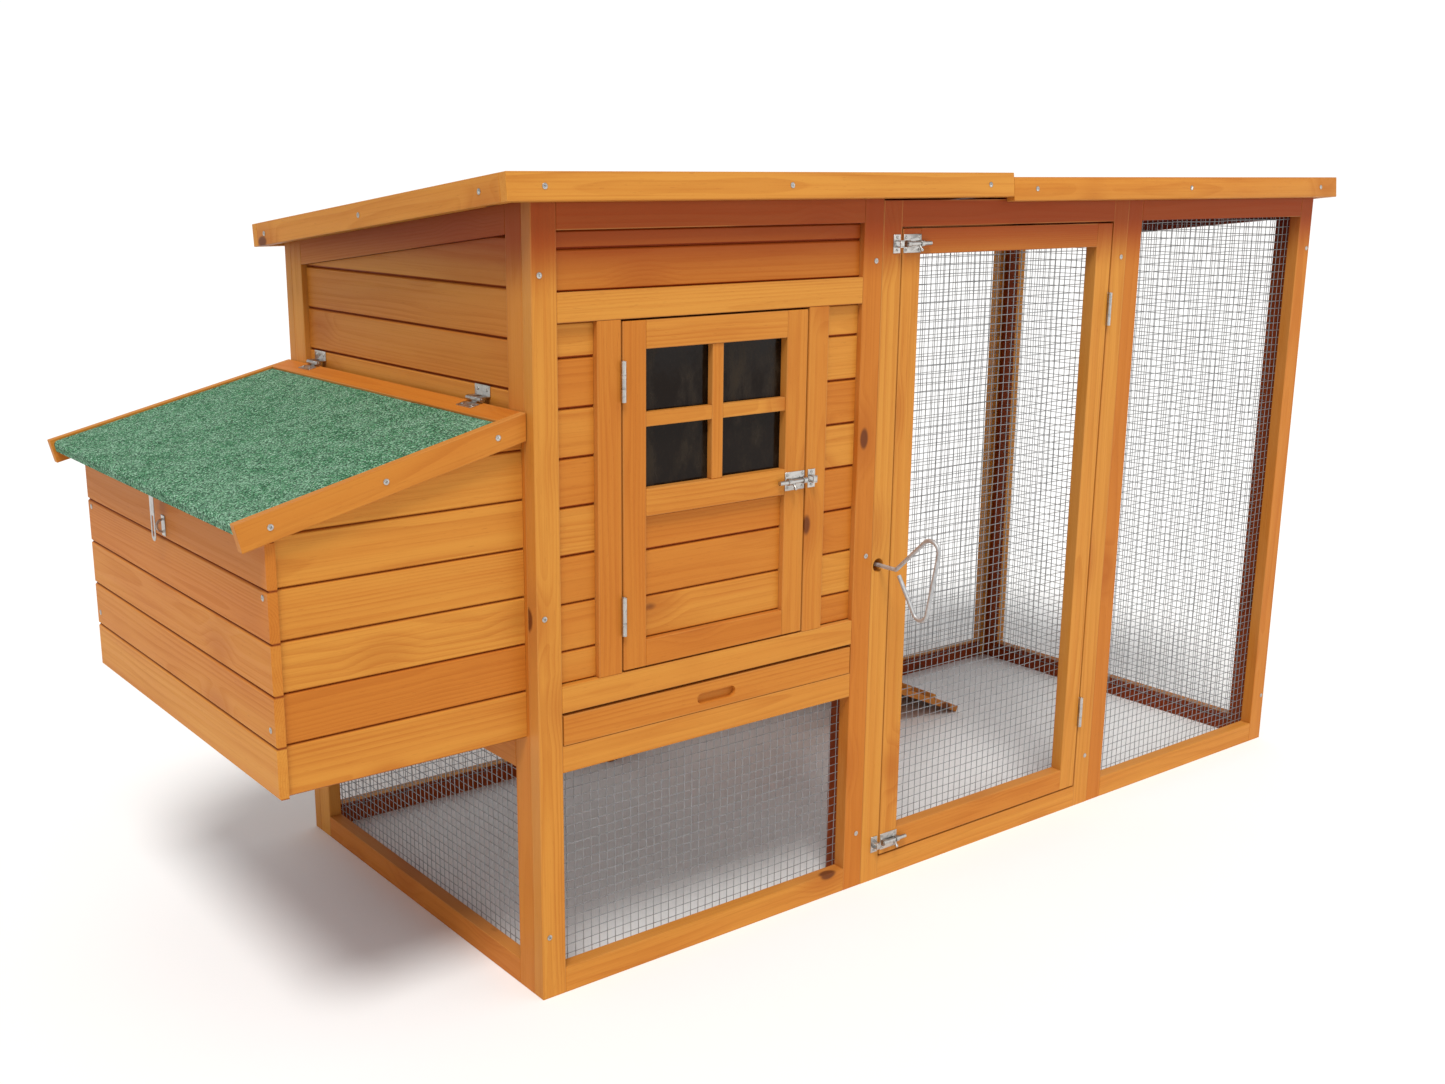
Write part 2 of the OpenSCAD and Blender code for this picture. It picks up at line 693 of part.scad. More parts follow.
module nest_lid_felt() color(felt_green) placed() lid_plane() {
    x0 = -lid_len + lid_lip;
    top = -lid_felt_down;
    y0 = lid_y0 + lid_side_t;
    y1 = lid_y1 - lid_side_t;
    translate([0, y1, 0]) rotate([90, 0, 0]) linear_extrude(y1 - y0)
        polygon([[x0, top - felt_t - lid_panel_t], [x0 + felt_t, top - felt_t - lid_panel_t],
            [x0 + felt_t, top - felt_t], [-hinge_rail_w, top - felt_t], [-hinge_rail_w, top], [x0, top]]);
}

// The leaf on the lid's hinge rail; the leaf on the wall is with the fixed leaves
module lid_hinge_leaves() color(zinc) placed() {
    at_lid_hinges() hinge_barrel(1, lid_hinge_h);
    third = lid_hinge_h / 3;
    near = 2 * knuckle_r + 1.6;
    for (y = lid_hinge_ys) {
        translate([0, y, 0]) lid_plane() {
            block([-near - lid_leaf, -lid_hinge_h / 2, 0], [-near, lid_hinge_h / 2, plate_t]);
            block([-near - 0.1, -third / 2 + 0.2, 0], [-knuckle_r - 1, third / 2 - 0.2, plate_t]);
        }
        translate([lid_pin_x, y, lid_pin_z]) rotate([0, -lid_fall, 0])
            block([-2, -third / 2 + 0.2, -knuckle_r - 0.2], [0.6, third / 2 - 0.2, -knuckle_r + 0.9]);
    }
}

// Hasp: a leaf under the lid's front, and a slotted strap that drops over the staple
module hasp_leaf() color(zinc) placed() {
    x = hasp_x;
    under = nest_top(-x) + 0.6;
    for (s = [-1, 1])
        translate([x, hasp_y + s * (hasp_w / 2 + 2.6), hasp_z]) rotate([90, 0, 0]) difference() {
            union() {
                cylinder(r = knuckle_r, h = 4, center = true);
                block([-plate_t / 2, 0, -2], [plate_t / 2, under - hasp_z - 2 * joint, 2]);
            }
            cylinder(r = pin_r + bore_play, h = 5, center = true);
        }
    translate([x, hasp_y - hasp_w / 2 - 4, hasp_z]) rotate([-90, 0, 0]) cylinder(r = pin_r, h = hasp_w + 8);
}

module hasp_strap() color(zinc) placed() translate([hasp_x, hasp_y, hasp_z]) {
    rotate([90, 0, 0]) difference() {
        cylinder(r = knuckle_r, h = hasp_w, center = true);
        cylinder(r = pin_r + bore_play, h = hasp_w + 1, center = true);
    }
    difference() {
        union() {
            block([-plate_t / 2, -hasp_w / 2, hasp_w / 2 - hasp_len], [plate_t / 2, hasp_w / 2, -pin_r - 0.5]);
            translate([0, 0, hasp_w / 2 - hasp_len]) rotate([0, 90, 0])
                cylinder(d = hasp_w, h = plate_t, center = true);
        }
        block([-2, -3, -hasp_len + 6], [2, 3, -hasp_len + 32]);
    }
}

module hasp_staple() color(zinc) placed() translate([-nest_out, hasp_y, staple_z]) {
    block([-plate_t, -6, -13], [0, 6, 13]);
    translate([-plate_t, 0, 0]) rotate([90, 0, 0]) rotate([0, 0, 90])
        difference() {
            cylinder(r = staple_r, h = 2.4, center = true);
            cylinder(r = staple_r - 2.5, h = 3, center = true);
            block([-10, -10, -3], [10, 0, 3]);
        }
}

// ================= roof, in two halves

module roof_battens() color(fir_dark) placed() {
    y0 = -roof_front + trim_t;
    y1 = roof_len - trim_t;
    for (half = [[-roof_side + trim_t, roof_split - seam, 0], [roof_split + seam, base_w + roof_side - trim_t, run_drop]])
        roof_plane(half[2]) {
            for (y = [y0, y1 - stile_w]) block([half[0], y, 0], [half[1], y + stile_w, batten_t]);
            for (x = [half[0], half[1] - stile_w])
                block([x, y0 + stile_w + joint, 0], [x + stile_w, y1 - stile_w - joint, batten_t]);
        }
}

module roof_deck() color(fir_dark) placed()
    for (half = [[-roof_side + trim_t, roof_split - seam, 0], [roof_split + seam, base_w + roof_side - trim_t, run_drop]])
        roof_plane(half[2])
            block([half[0], -roof_front + trim_t, batten_t + joint], [half[1], roof_len - trim_t, batten_t + deck_t]);

module roof_felt() color(felt_green) placed()
    for (half = [[-roof_side + trim_t, roof_split - seam, 0], [roof_split + seam, base_w + roof_side - trim_t, run_drop]])
        roof_plane(half[2])
            block([half[0], -roof_front + trim_t, batten_t + deck_t], [half[1], roof_len - trim_t, fascia_up]);

module roof_fascia() color(fir) placed()
    for (half = [[-roof_side, roof_split - seam, 0, -roof_side], [roof_split + seam, base_w + roof_side, run_drop,
            base_w + roof_side - trim_t]])
        roof_plane(half[2]) {
            for (y = [-roof_front, roof_len - trim_t])
                block([half[0], y, fascia_up - fascia_h], [half[1], y + trim_t, fascia_up]);
            block([half[3], -roof_front + trim_t + joint, fascia_up - fascia_h],
                [half[3] + trim_t, roof_len - trim_t - joint, fascia_up]);
        }

// ================= doors

module house_door_frame() color(fir) placed() {
    stile(door_x0, 0, door_z0, door_z1);
    stile(door_x1 - stile_w, 0, door_z0, door_z1);
    for (z = [door_z0, door_mid, door_z1 - stile_w]) rail(door_x0 + stile_w, door_x1 - stile_w, 0, z);
}

module house_door_boards() color(fir) placed() translate([door_x0 + stile_w, recess, 0])
    cladding(door_x1 - door_x0 - 2 * stile_w, door_z0 + stile_w, door_mid, door_z0 + 90);

module window_muntins() color(fir) placed() {
    x0 = door_x0 + stile_w;
    x1 = door_x1 - stile_w;
    xm = (x0 + x1) / 2;
    y0 = 2;
    y1 = y0 + muntin_t;
    block([xm - muntin_w / 2, y0, win_z0], [xm + muntin_w / 2, y1, win_z1]);
    block([x0, y0, win_mid - muntin_w / 2], [xm - muntin_w / 2 - joint, y1, win_mid + muntin_w / 2]);
    block([xm + muntin_w / 2 + joint, y0, win_mid - muntin_w / 2], [x1, y1, win_mid + muntin_w / 2]);
}

module window_pane() color(smoke) placed()
    block([door_x0 + stile_w + clear, 2 + muntin_t, win_z0 + clear],
        [door_x1 - stile_w - clear, 2 + muntin_t + pane_t, win_z1 - clear]);

module house_door_hinge_leaves() color(zinc) placed() at_house_hinges() butt_leaf(1, 1);

module house_door_bolt_plate() color(zinc) placed() at_house_bolt() bolt_case();

module house_door_bolt() color(zinc) placed() at_house_bolt() bolt_rod();

module run_door_frame() color(fir) placed() {
    stile(rdoor_x0, 0, rdoor_z0, rdoor_z1);
    stile(rdoor_x1 - stile_w, 0, rdoor_z0, rdoor_z1);
    for (z = [rdoor_z0, rdoor_z1 - stile_w]) rail(rdoor_x0 + stile_w, rdoor_x1 - stile_w, 0, z);
}

module run_door_mesh() color(zinc) placed() {
    a = stile_w - mesh_lap;
    block([rdoor_x0 + a, frame_t, rdoor_z0 + a], [rdoor_x1 - a, frame_t + mesh_t, rdoor_z1 - a]);
}

module run_door_hinge_leaves() color(zinc) placed() at_run_hinges() butt_leaf(1, -1);

module run_door_bolt_plates() color(zinc) placed()
    for (z = [run_bolt_low_z, run_bolt_top_z]) at_run_bolt(z) bolt_case();

module run_door_top_bolt() color(zinc) placed() at_run_bolt(run_bolt_top_z) bolt_rod();
module run_door_bottom_bolt() color(zinc) placed() at_run_bolt(run_bolt_low_z) bolt_rod();

// ================= hardware on the fixed frames

module fixed_hinge_leaves() color(zinc) placed() {
    at_house_hinges() butt_leaf(0, -1);
    at_run_hinges() butt_leaf(0, 1);
    at_lid_hinges() hinge_barrel(0, lid_hinge_h);
    lid_third = lid_hinge_h / 3;
    for (y = lid_hinge_ys) {
        for (s = [-1, 1])
            block([lid_pin_x, y + s * (lid_third + 0.1) - lid_third / 2 + 0.1, lid_pin_z + knuckle_r - plate_t],
                [recess, y + s * (lid_third + 0.1) + lid_third / 2 - 0.1, lid_pin_z + knuckle_r]);
        block([recess - plate_t, y - lid_hinge_h / 2, lid_pin_z + knuckle_r - plate_t],
            [recess, y + lid_hinge_h / 2, lid_pin_z + knuckle_r + lid_leaf]);
    }
    third = hinge_h / 3;
    for (y = [ramp_y0 + 32, ramp_y0 + ramp_w - 32]) {
        translate([ramp_pin_x, y, ramp_pin_z]) rotate([90, 0, 0]) hinge_barrel(0);
        for (s = [-1, 1])
            block([house_w, y + s * (third + 0.1) - third / 2 + 0.1, ramp_pin_z + knuckle_r - plate_t],
                [ramp_pin_x, y + s * (third + 0.1) + third / 2 - 0.1, ramp_pin_z + knuckle_r]);
        block([house_w, y - hinge_h / 2, low_rail_z + 1],
            [house_w + plate_t, y + hinge_h / 2, ramp_pin_z + knuckle_r]);
    }
}

module hinge_pins() color(zinc) placed() {
    long = hinge_h + 1;
    at_house_hinges() cylinder(r = pin_r, h = long, center = true);
    at_run_hinges() cylinder(r = pin_r, h = long, center = true);
    at_lid_hinges() cylinder(r = pin_r, h = lid_hinge_h + 1, center = true);
    at_ramp_hinges() cylinder(r = pin_r, h = long, center = true);
}

module ramp_hinge_leaves() color(zinc) placed() {
    at_ramp_hinges() hinge_barrel(1);
    third = hinge_h / 3;
    for (y = [ramp_y0 + 32, ramp_y0 + ramp_w - 32])
        translate([0, y, 0]) ramp_plane() {
            block([0, -third / 2 + 0.2, -knuckle_r], [knuckle_r + 2, third / 2 - 0.2, plate_t - knuckle_r]);
            block([knuckle_r + 1, -hinge_h / 2, -knuckle_r], [knuckle_r + 26, hinge_h / 2, plate_t - knuckle_r]);
        }
}

module bolt_keepers() color(zinc) placed() {
    at_house_bolt() bolt_keeper();
    for (z = [run_bolt_low_z, run_bolt_top_z]) at_run_bolt(z) bolt_keeper();
}

// Screw heads in the walls, the roof boards and the nest box
module wall_screws() color(zinc) placed() {
    for (x = [11, house_w - 12], z = [85, house_h / 2 + 6, house_h - 85]) screw_front(x, z);
    for (z = [85, house_h - 95]) {
        screw_front(base_w - 8, z);
        screw_front(panel_x - 12, z);
    }
    reach = 370;
    for (half = [[(roof_split - roof_side) / 2, 0], [(roof_split + base_w + roof_side) / 2, run_drop]])
        roof_plane(half[1])
            for (k = [-1, 0, 1]) screw_front(half[0] + k * reach, fascia_up - fascia_h / 2, -roof_front);
    for (k = [-1, 0, 1]) {
        y = roof_len / 2 + k * roof_len * 0.44;
        roof_plane(0) screw_left(y, fascia_up - fascia_h / 2, -roof_side);
        roof_plane(run_drop) translate([base_w + roof_side, y, fascia_up - fascia_h / 2])
            rotate([0, 90, 0]) cylinder(r = screw_r, h = screw_t);
    }
    for (y = [nest_y0 + 13, nest_y1 - 14], z = [nest_z + 80, nest_z + 232]) screw_left(y, z, -nest_out);
}

module lid_screws() color(zinc) placed()
    for (out = [0.12, 0.52, 0.9])
        lid_plane() screw_front(-lid_len * out, -lid_side_h / 2, lid_y0);

house_front_frame();
house_front_boards();
door_jambs();
house_side_frame();
house_side_boards();
house_back_frame();
house_back_boards();
house_mesh();
partition_frame();
partition_boards();
pop_door_runners();
pop_door();
pull_rod();
ramp_board();
ramp_cleats();
tray_runners();
tray_pan();
tray_front();
perch();
perch_brackets();
run_front_frame();
run_panel_frame();
run_side_frame();
run_back_frame();
run_mesh();
nest_front_wall();
nest_side_walls();
nest_battens();
nest_floor();
nest_divider();
nest_lid_frame();
nest_lid_panel();
nest_lid_felt();
lid_hinge_leaves();
hasp_leaf();
hasp_strap();
hasp_staple();
roof_battens();
roof_deck();
roof_fascia();
roof_felt();
house_door_frame();
house_door_boards();
window_muntins();
window_pane();
house_door_hinge_leaves();
house_door_bolt_plate();
house_door_bolt();
run_door_frame();
run_door_mesh();
run_door_hinge_leaves();
run_door_bolt_plates();
run_door_top_bolt();
run_door_bottom_bolt();
fixed_hinge_leaves();
hinge_pins();
bolt_keepers();
ramp_hinge_leaves();
wall_screws();
lid_screws();
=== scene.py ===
"""Looks for a raised hen house with a side nest box and a meshed run, made as a Blender add-on."""
import json
import math

import bmesh
import bpy
import numpy as np
from bpy.props import FloatProperty, FloatVectorProperty, IntProperty, PointerProperty
from mathutils import Matrix, Vector


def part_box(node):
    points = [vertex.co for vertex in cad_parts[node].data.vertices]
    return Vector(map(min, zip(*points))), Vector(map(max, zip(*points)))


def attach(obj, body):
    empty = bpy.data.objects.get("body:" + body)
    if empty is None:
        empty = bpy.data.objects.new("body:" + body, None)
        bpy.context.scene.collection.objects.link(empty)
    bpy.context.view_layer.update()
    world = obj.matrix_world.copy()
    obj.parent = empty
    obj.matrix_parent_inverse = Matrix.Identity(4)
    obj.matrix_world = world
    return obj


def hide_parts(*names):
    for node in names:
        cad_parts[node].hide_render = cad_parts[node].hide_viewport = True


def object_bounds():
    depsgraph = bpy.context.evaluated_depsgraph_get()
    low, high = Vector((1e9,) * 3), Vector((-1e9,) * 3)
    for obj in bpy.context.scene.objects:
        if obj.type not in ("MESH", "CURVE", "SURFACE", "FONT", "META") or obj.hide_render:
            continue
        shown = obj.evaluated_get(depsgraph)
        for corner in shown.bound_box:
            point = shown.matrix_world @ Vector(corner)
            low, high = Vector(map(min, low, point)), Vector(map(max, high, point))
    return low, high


bl_info = {
    "name": "Hen House Looks",
    "version": (1, 0, 0),
    "blender": (4, 5, 0),
    "location": "3D View > Sidebar > Hen House",
    "description": "Builds the visible pieces of a hen house around its packed frame",
    "category": "Object",
}

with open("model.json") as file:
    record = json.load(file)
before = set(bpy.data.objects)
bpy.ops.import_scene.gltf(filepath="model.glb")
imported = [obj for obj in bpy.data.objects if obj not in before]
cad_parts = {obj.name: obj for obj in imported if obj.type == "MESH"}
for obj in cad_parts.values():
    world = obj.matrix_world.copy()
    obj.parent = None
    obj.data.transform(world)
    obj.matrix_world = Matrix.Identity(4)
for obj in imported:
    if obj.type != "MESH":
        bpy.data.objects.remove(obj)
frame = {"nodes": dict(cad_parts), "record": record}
CAD_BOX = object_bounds()
NODES = frame["nodes"]
RECORD = frame["record"]
BODY_OF = {node: body for body, nodes in RECORD["behaviour"]["bodies"].items() for node in nodes}
SLOT_OF = {part["node"]: part["material_slot"] for part in RECORD["subparts"]}
MM = 0.001


# ---- sizes and colours


class CoopTimberSettings(bpy.types.PropertyGroup):
    """What the stained boards and battens look like."""

    edge: FloatProperty(name="Eased edge", description="Radius of the sanded edges", default=0.9 * MM, unit="LENGTH")
    steps: IntProperty(name="Edge steps", description="Facets across one eased edge", default=2, min=1, max=4)
    ring: FloatProperty(name="Growth ring", description="Distance between growth rings", default=3.0 * MM,
                        unit="LENGTH")
    honey: FloatVectorProperty(name="Honey", description="Stain on pale wood", subtype="COLOR",
                               default=(0.620, 0.262, 0.040))
    amber: FloatVectorProperty(name="Amber", description="Stain on the redder boards", subtype="COLOR",
                               default=(0.530, 0.172, 0.020))
    late: FloatVectorProperty(name="Latewood", description="Stain on the dark lines of the grain", subtype="COLOR",
                              default=(0.390, 0.098, 0.009))
    groove: FloatVectorProperty(name="Groove", description="Stain that gathers in grooves and at ends",
                                subtype="COLOR", default=(0.210, 0.028, 0.002))
    # painted shade: deep red that stands in for the shadow of the roof's overhang on the top of the walls, not a
    # stain
    eave_shade: FloatVectorProperty(name="Sheltered", description="Red stain kept fresh under the eaves",
                                   subtype="COLOR", default=(0.270, 0.034, 0.003))
    # painted shade: deep red tint for faces that look into the coop and for high undersides, where shade falls; not
    # a wet stain
    inside: FloatVectorProperty(name="Inside", description="Tints the wet, red stain of the faces that look inwards",
                                subtype="COLOR", default=(0.42, 0.13, 0.10))
    worn: FloatVectorProperty(name="Worn edge", description="Stain rubbed thin on edges", subtype="COLOR",
                              default=(0.700, 0.350, 0.095))
    knot: FloatVectorProperty(name="Knot", description="Heart of a knot", subtype="COLOR",
                              default=(0.120, 0.030, 0.008))


class CoopMeshSettings(bpy.types.PropertyGroup):
    """The welded wire mesh."""

    pitch: FloatProperty(name="Pitch", description="Distance between wires", default=12.7 * MM, unit="LENGTH")
    gauge: FloatProperty(name="Gauge", description="Wire diameter", default=1.1 * MM, unit="LENGTH")
    stride: FloatProperty(name="Stride", description="Length of one straight bit of wire", default=25.4 * MM,
                          unit="LENGTH")
    sag: FloatProperty(name="Waviness", description="How far the sheet strays from flat", default=0.9 * MM,
                       unit="LENGTH")
    tint: FloatVectorProperty(name="Wire", description="Colour of the zinc on the wire", subtype="COLOR",
                              default=(0.36, 0.37, 0.38))


class CoopFeltSettings(bpy.types.PropertyGroup):
    """The gritted roofing felt."""

    thick: FloatProperty(name="Thickness", description="Felt with its grit", default=2.0 * MM, unit="LENGTH")
    lip: FloatProperty(name="Lip radius", description="Bend of the felt over the front of the lid",
                       default=6.0 * MM, unit="LENGTH")
    ripple: FloatProperty(name="Ripple", description="Unevenness of the sheet", default=0.25 * MM, unit="LENGTH")
    grit: FloatProperty(name="Grit", description="Size of one grain of grit", default=2.0 * MM, unit="LENGTH")
    leaf: FloatVectorProperty(name="Leaf", description="Main colour of the grit", subtype="COLOR",
                              default=(0.110, 0.330, 0.165))
    moss: FloatVectorProperty(name="Moss", description="Dark grains", subtype="COLOR",
                              default=(0.030, 0.130, 0.064))
    mint: FloatVectorProperty(name="Mint", description="Pale grains", subtype="COLOR",
                              default=(0.400, 0.640, 0.470))
    gap: FloatVectorProperty(name="Gap", description="Bitumen between the grains", subtype="COLOR",
                             default=(0.008, 0.024, 0.012))


class CoopMetalSettings(bpy.types.PropertyGroup):
    """Hinges, bolts, screws, tray and rod."""

    plate: FloatVectorProperty(name="Zinc plate", description="Bright zinc", subtype="COLOR",
                               default=(0.60, 0.58, 0.55))
    sheet: FloatVectorProperty(name="Galvanised", description="Galvanised sheet and rod", subtype="COLOR",
                               default=(0.56, 0.57, 0.58))
    edge: FloatProperty(name="Edge", description="Rounding of stamped edges", default=0.25 * MM, unit="LENGTH")
    bend: FloatProperty(name="Rod bend", description="Radius of the top corner of the pull rod", default=15.5 * MM,
                        unit="LENGTH")
    loop: FloatProperty(name="Loop", description="Reach of the pull rod's loop beyond its first bend",
                        default=78.7 * MM, unit="LENGTH")
    plate_t: FloatProperty(name="Plate", description="Thickness of the stamped plates", default=1.0 * MM,
                           unit="LENGTH")
    head: FloatProperty(name="Small screw", description="Radius of a screw head on a plate or leaf",
                        default=2.2 * MM, unit="LENGTH")


class CoopStageSettings(bpy.types.PropertyGroup):
    """Camera, floor and lights."""

    lens: FloatProperty(name="Lens", description="Focal length on a 36 mm sensor, in millimetres", default=38.327)
    eye: FloatVectorProperty(name="Eye", description="Place of the camera", subtype="TRANSLATION",
                             default=(-1.5896, -1.7989, 1.0260))
    heading: FloatProperty(name="Heading", description="Turn of the camera about the vertical, in degrees",
                           default=-36.776)
    dip: FloatProperty(name="Dip", description="How far the camera looks down, in degrees", default=13.888)
    roll: FloatProperty(name="Roll", description="Roll of the camera, in degrees", default=0.088)
    shift: FloatVectorProperty(name="Shift", description="Lens shift across and up", size=2,
                               default=(0.0475, 0.0096))
    floor: FloatVectorProperty(name="Floor", description="Colour of the floor", subtype="COLOR",
                               default=(0.92, 0.92, 0.92))
    key: FloatProperty(name="Key light", description="Strength of the high soft light in front", default=2.3)
    fill: FloatProperty(name="Fill light", description="Power of the low soft light on the right", default=22.0)
    sky: FloatProperty(name="Surround", description="Strength of the even light all round", default=0.58)
    backdrop: FloatProperty(name="Backdrop", description="Brightness of the backdrop itself", default=1.05)


# ---- shader sums


class Value:
    """A shader socket on which sums can be written in Python."""

    def __init__(self, finish, socket):
        self.finish, self.socket = finish, socket

    def sum(self, operation, first, second):
        """A Math node with that operation on two values."""
        return self.finish.node("ShaderNodeMath", {"operation": operation}, {0: first, 1: second})

    def __add__(self, other):
        return self.sum("ADD", self, other)

    def __sub__(self, other):
        return self.sum("SUBTRACT", self, other)

    def __rsub__(self, other):
        return self.sum("SUBTRACT", other, self)

    def __mul__(self, other):
        return self.sum("MULTIPLY", self, other)

    def __pow__(self, other):
        return self.sum("POWER", self, other)

    __radd__ = __add__
    __rmul__ = __mul__


class Finish:
    """A material with one Principled shader, and one method that adds any other node."""

    def __init__(self, name, **plain):
        self.material = bpy.data.materials.new(name)
        self.material.use_nodes = True
        self.tree = self.material.node_tree
        self.tree.nodes.clear()
        self.shader = self.tree.nodes.new("ShaderNodeBsdfPrincipled")
        output = self.tree.nodes.new("ShaderNodeOutputMaterial")
        self.tree.links.new(self.shader.outputs[0], output.inputs[0])
        for socket, value in plain.items():
            self.shader.inputs[socket.replace("_", " ")].default_value = value

    def feed(self, socket, value):
        """Links a Value to a socket, or sets the socket to a plain number or colour."""
        if isinstance(value, Value):
            self.tree.links.new(value.socket, socket)
        elif hasattr(value, "__len__") and socket.type == "RGBA":
            socket.default_value = (*value[:3], 1.0)
        else:
            socket.default_value = value

    def node(self, kind, settings=None, inputs=None, out=0):
        """Adds a node: its settings, where 'stops' fills a ramp, then its inputs. Gives one of its outputs."""
        made = self.tree.nodes.new(kind)
        for name, value in (settings or {}).items():
            if name == "stops":
                for i, (place, colour) in enumerate(value):
                    stops = made.color_ramp.elements
                    stop = stops[i] if i < 2 else stops.new(place)
                    stop.position, stop.color = place, (*colour, 1.0)
            else:
                setattr(made, name, value)
        for key, value in (inputs or {}).items():
            self.feed(made.inputs[key], value)
        return Value(self, made.outputs[out])

    def mix(self, share, first, second, kind="MIX"):
        """Two colours mixed by a share from 0 to 1."""
        return self.node("ShaderNodeMix", {"data_type": "RGBA", "blend_type": kind},
                         {0: share, 6: first, 7: second}, out=2)

    def scaled(self, vector, sizes):
        """A vector with each part multiplied."""
        return self.node("ShaderNodeVectorMath", {"operation": "MULTIPLY"}, {0: vector, 1: sizes})

    def noise(self, vector, scale, detail=2.0, rough=0.5):
        """Smooth noise from 0 to 1."""
        return self.node("ShaderNodeTexNoise", {"noise_dimensions": "3D"},
                         {"Vector": vector, "Scale": scale, "Detail": detail, "Roughness": rough})

    def cells(self, vector, scale, out):
        """Cells round scattered points: the Distance to the nearest point, or the Color of its cell."""
        return self.node("ShaderNodeTexVoronoi", {"voronoi_dimensions": "3D", "feature": "F1"},
                         {"Vector": vector, "Scale": scale, "Randomness": 1.0}, out=out)

    def parts(self, vector):
        """The three numbers of a vector."""
        made = self.node("ShaderNodeSeparateXYZ", None, {0: vector})
        return [Value(self, socket) for socket in made.socket.node.outputs]

    def ramp(self, value, low, high):
        """0 below low, 1 above high, and smooth between them."""
        return self.node("ShaderNodeMapRange", {"interpolation_type": "SMOOTHSTEP", "clamp": True},
                         {0: value, 1: low, 2: high, 3: 0.0, 4: 1.0})

    def relief(self, height, depth):
        """Feeds the shader's normal from a height, with its full depth in metres."""
        normal = self.node("ShaderNodeBump", None, {"Strength": 1.0, "Distance": depth, "Height": height})
        self.feed(self.shader.inputs["Normal"], normal)

    def paint(self, **values):
        """Feeds sockets of the Principled shader by name."""
        for socket, value in values.items():
            self.feed(self.shader.inputs[socket.replace("_", " ")], value)
        return self.material


def attribute(finish, name, out="Vector"):
    """A per-point attribute of the piece."""
    return finish.node("ShaderNodeAttribute", {"attribute_type": "GEOMETRY", "attribute_name": name}, out=out)


def stained_wood(name, settings, shade):
    """Planed fir under a honey stain.

    Growth rings are the distance from a pith line beside the board, bent by slow noise and round the knots, and
    cut into even bands. Fine fibre is noise stretched along the board. Stain is deeper on some boards, in the
    grooves and in the knots, and thin on rubbed edges. Near the top of the walls, under the eaves, the colour turns
    deep red as painted shade for the roof's shadow, and faces that look into the coop are tinted deep red as painted
    shade. shade multiplies every colour: painted shade for the wood within the coop.
    """
    f = Finish(name, Specular_IOR_Level=0.14)
    grain = attribute(f, "grain")
    place = attribute(f, "place")
    kind = attribute(f, "kind")
    inward = attribute(f, "inward", out="Fac")
    _, across, through = f.parts(grain)
    offset, half, board = f.parts(place)
    grooved, eaves, _ = f.parts(kind)
    near_edge = half - f.node("ShaderNodeMath", {"operation": "ABSOLUTE"}, {0: offset})

    knot_far = f.cells(f.scaled(grain, (4.6, 9.0, 8.0)), 1.0, "Distance")
    knot = 1.0 - f.ramp(knot_far, 0.050, 0.085)
    halo = 1.0 - f.ramp(knot_far, 0.07, 0.34)

    def drawn_out(along, around, detail=2.0, rough=0.5):
        """Noise with that many waves to a metre along the grain and around it."""
        return f.noise(f.scaled(grain, (along, around, around)), 1.0, detail, rough)

    slow = drawn_out(1.5, 7.0)
    lift = drawn_out(6.0, 24.0)
    radius = (across * across + through * through) ** 0.5
    bands = radius * (1.0 / settings.ring) + slow * 4.5 + lift * 0.5 + halo * 2.0
    saw = f.node("ShaderNodeMath", {"operation": "FRACT"}, {0: bands})
    late = f.ramp(saw, 0.30, 0.92) * (1.0 - f.ramp(saw, 0.93, 1.0))
    fibre = drawn_out(4.0, 420.0, 3.0, 0.65)
    streak = drawn_out(0.9, 70.0)
    blotch = drawn_out(3.0, 16.0, 4.0, 0.6)
    speck = drawn_out(60.0, 900.0, 1.0)

    def tone(stain):
        return tuple(channel * shade for channel in getattr(settings, stain))

    ground = f.mix(f.ramp(board * 0.62 + blotch * 0.42, 0.30, 0.80), tone("honey"), tone("amber"))
    ground = f.mix(f.ramp(streak, 0.38, 0.72) * 0.34, ground, tone("amber"))
    lined = f.mix(late * (0.10 + 0.22 * f.ramp(blotch, 0.35, 0.65)), ground, tone("late"))
    lined = f.mix(f.ramp(fibre, 0.46, 0.76) * 0.30, lined, tone("late"))
    lined = f.mix(f.ramp(blotch, 0.58, 0.80) * 0.25, lined, tone("late"))
    lined = f.mix(f.ramp(speck, 0.66, 0.78) * 0.22, lined, tone("groove"))
    lined = f.mix(halo * 0.50, lined, tone("late"))
    # painted shade: the wood turns deep red towards the top of the walls, under the roof's overhang, where its
    # shadow falls
    height = f.parts(f.node("ShaderNodeTexCoord", out="Object"))[2]
    lined = f.mix(eaves * f.ramp(height, 0.880, 0.960) * 0.88, lined, tone("eave_shade"))
    # painted shade: faces that look into the coop, and high undersides, are tinted deep red
    lined = f.mix(inward * 0.92, lined, tuple(settings.inside), "MULTIPLY")
    rubbed = (1.0 - f.ramp(near_edge, 0.4 * MM, 2.0 * MM)) * (1.0 - grooved)
    lined = f.mix(rubbed * f.ramp(blotch, 0.36, 0.60) * 0.40, lined, tone("worn"))
    edge = 1.0 - f.ramp(near_edge, 0.2 * MM, 2.4 * MM)
    lined = f.mix(edge * (0.22 + 0.62 * grooved) * (1.0 - 0.55 * rubbed), lined, tone("groove"))
    colour = f.mix(knot * 0.90, lined, tone("knot"))
    f.relief(fibre * 0.6 - late * 0.25 + knot * 0.3, 0.20 * MM)
    return f.paint(Base_Color=colour, Roughness=0.40 + 0.18 * fibre + 0.05 * late)


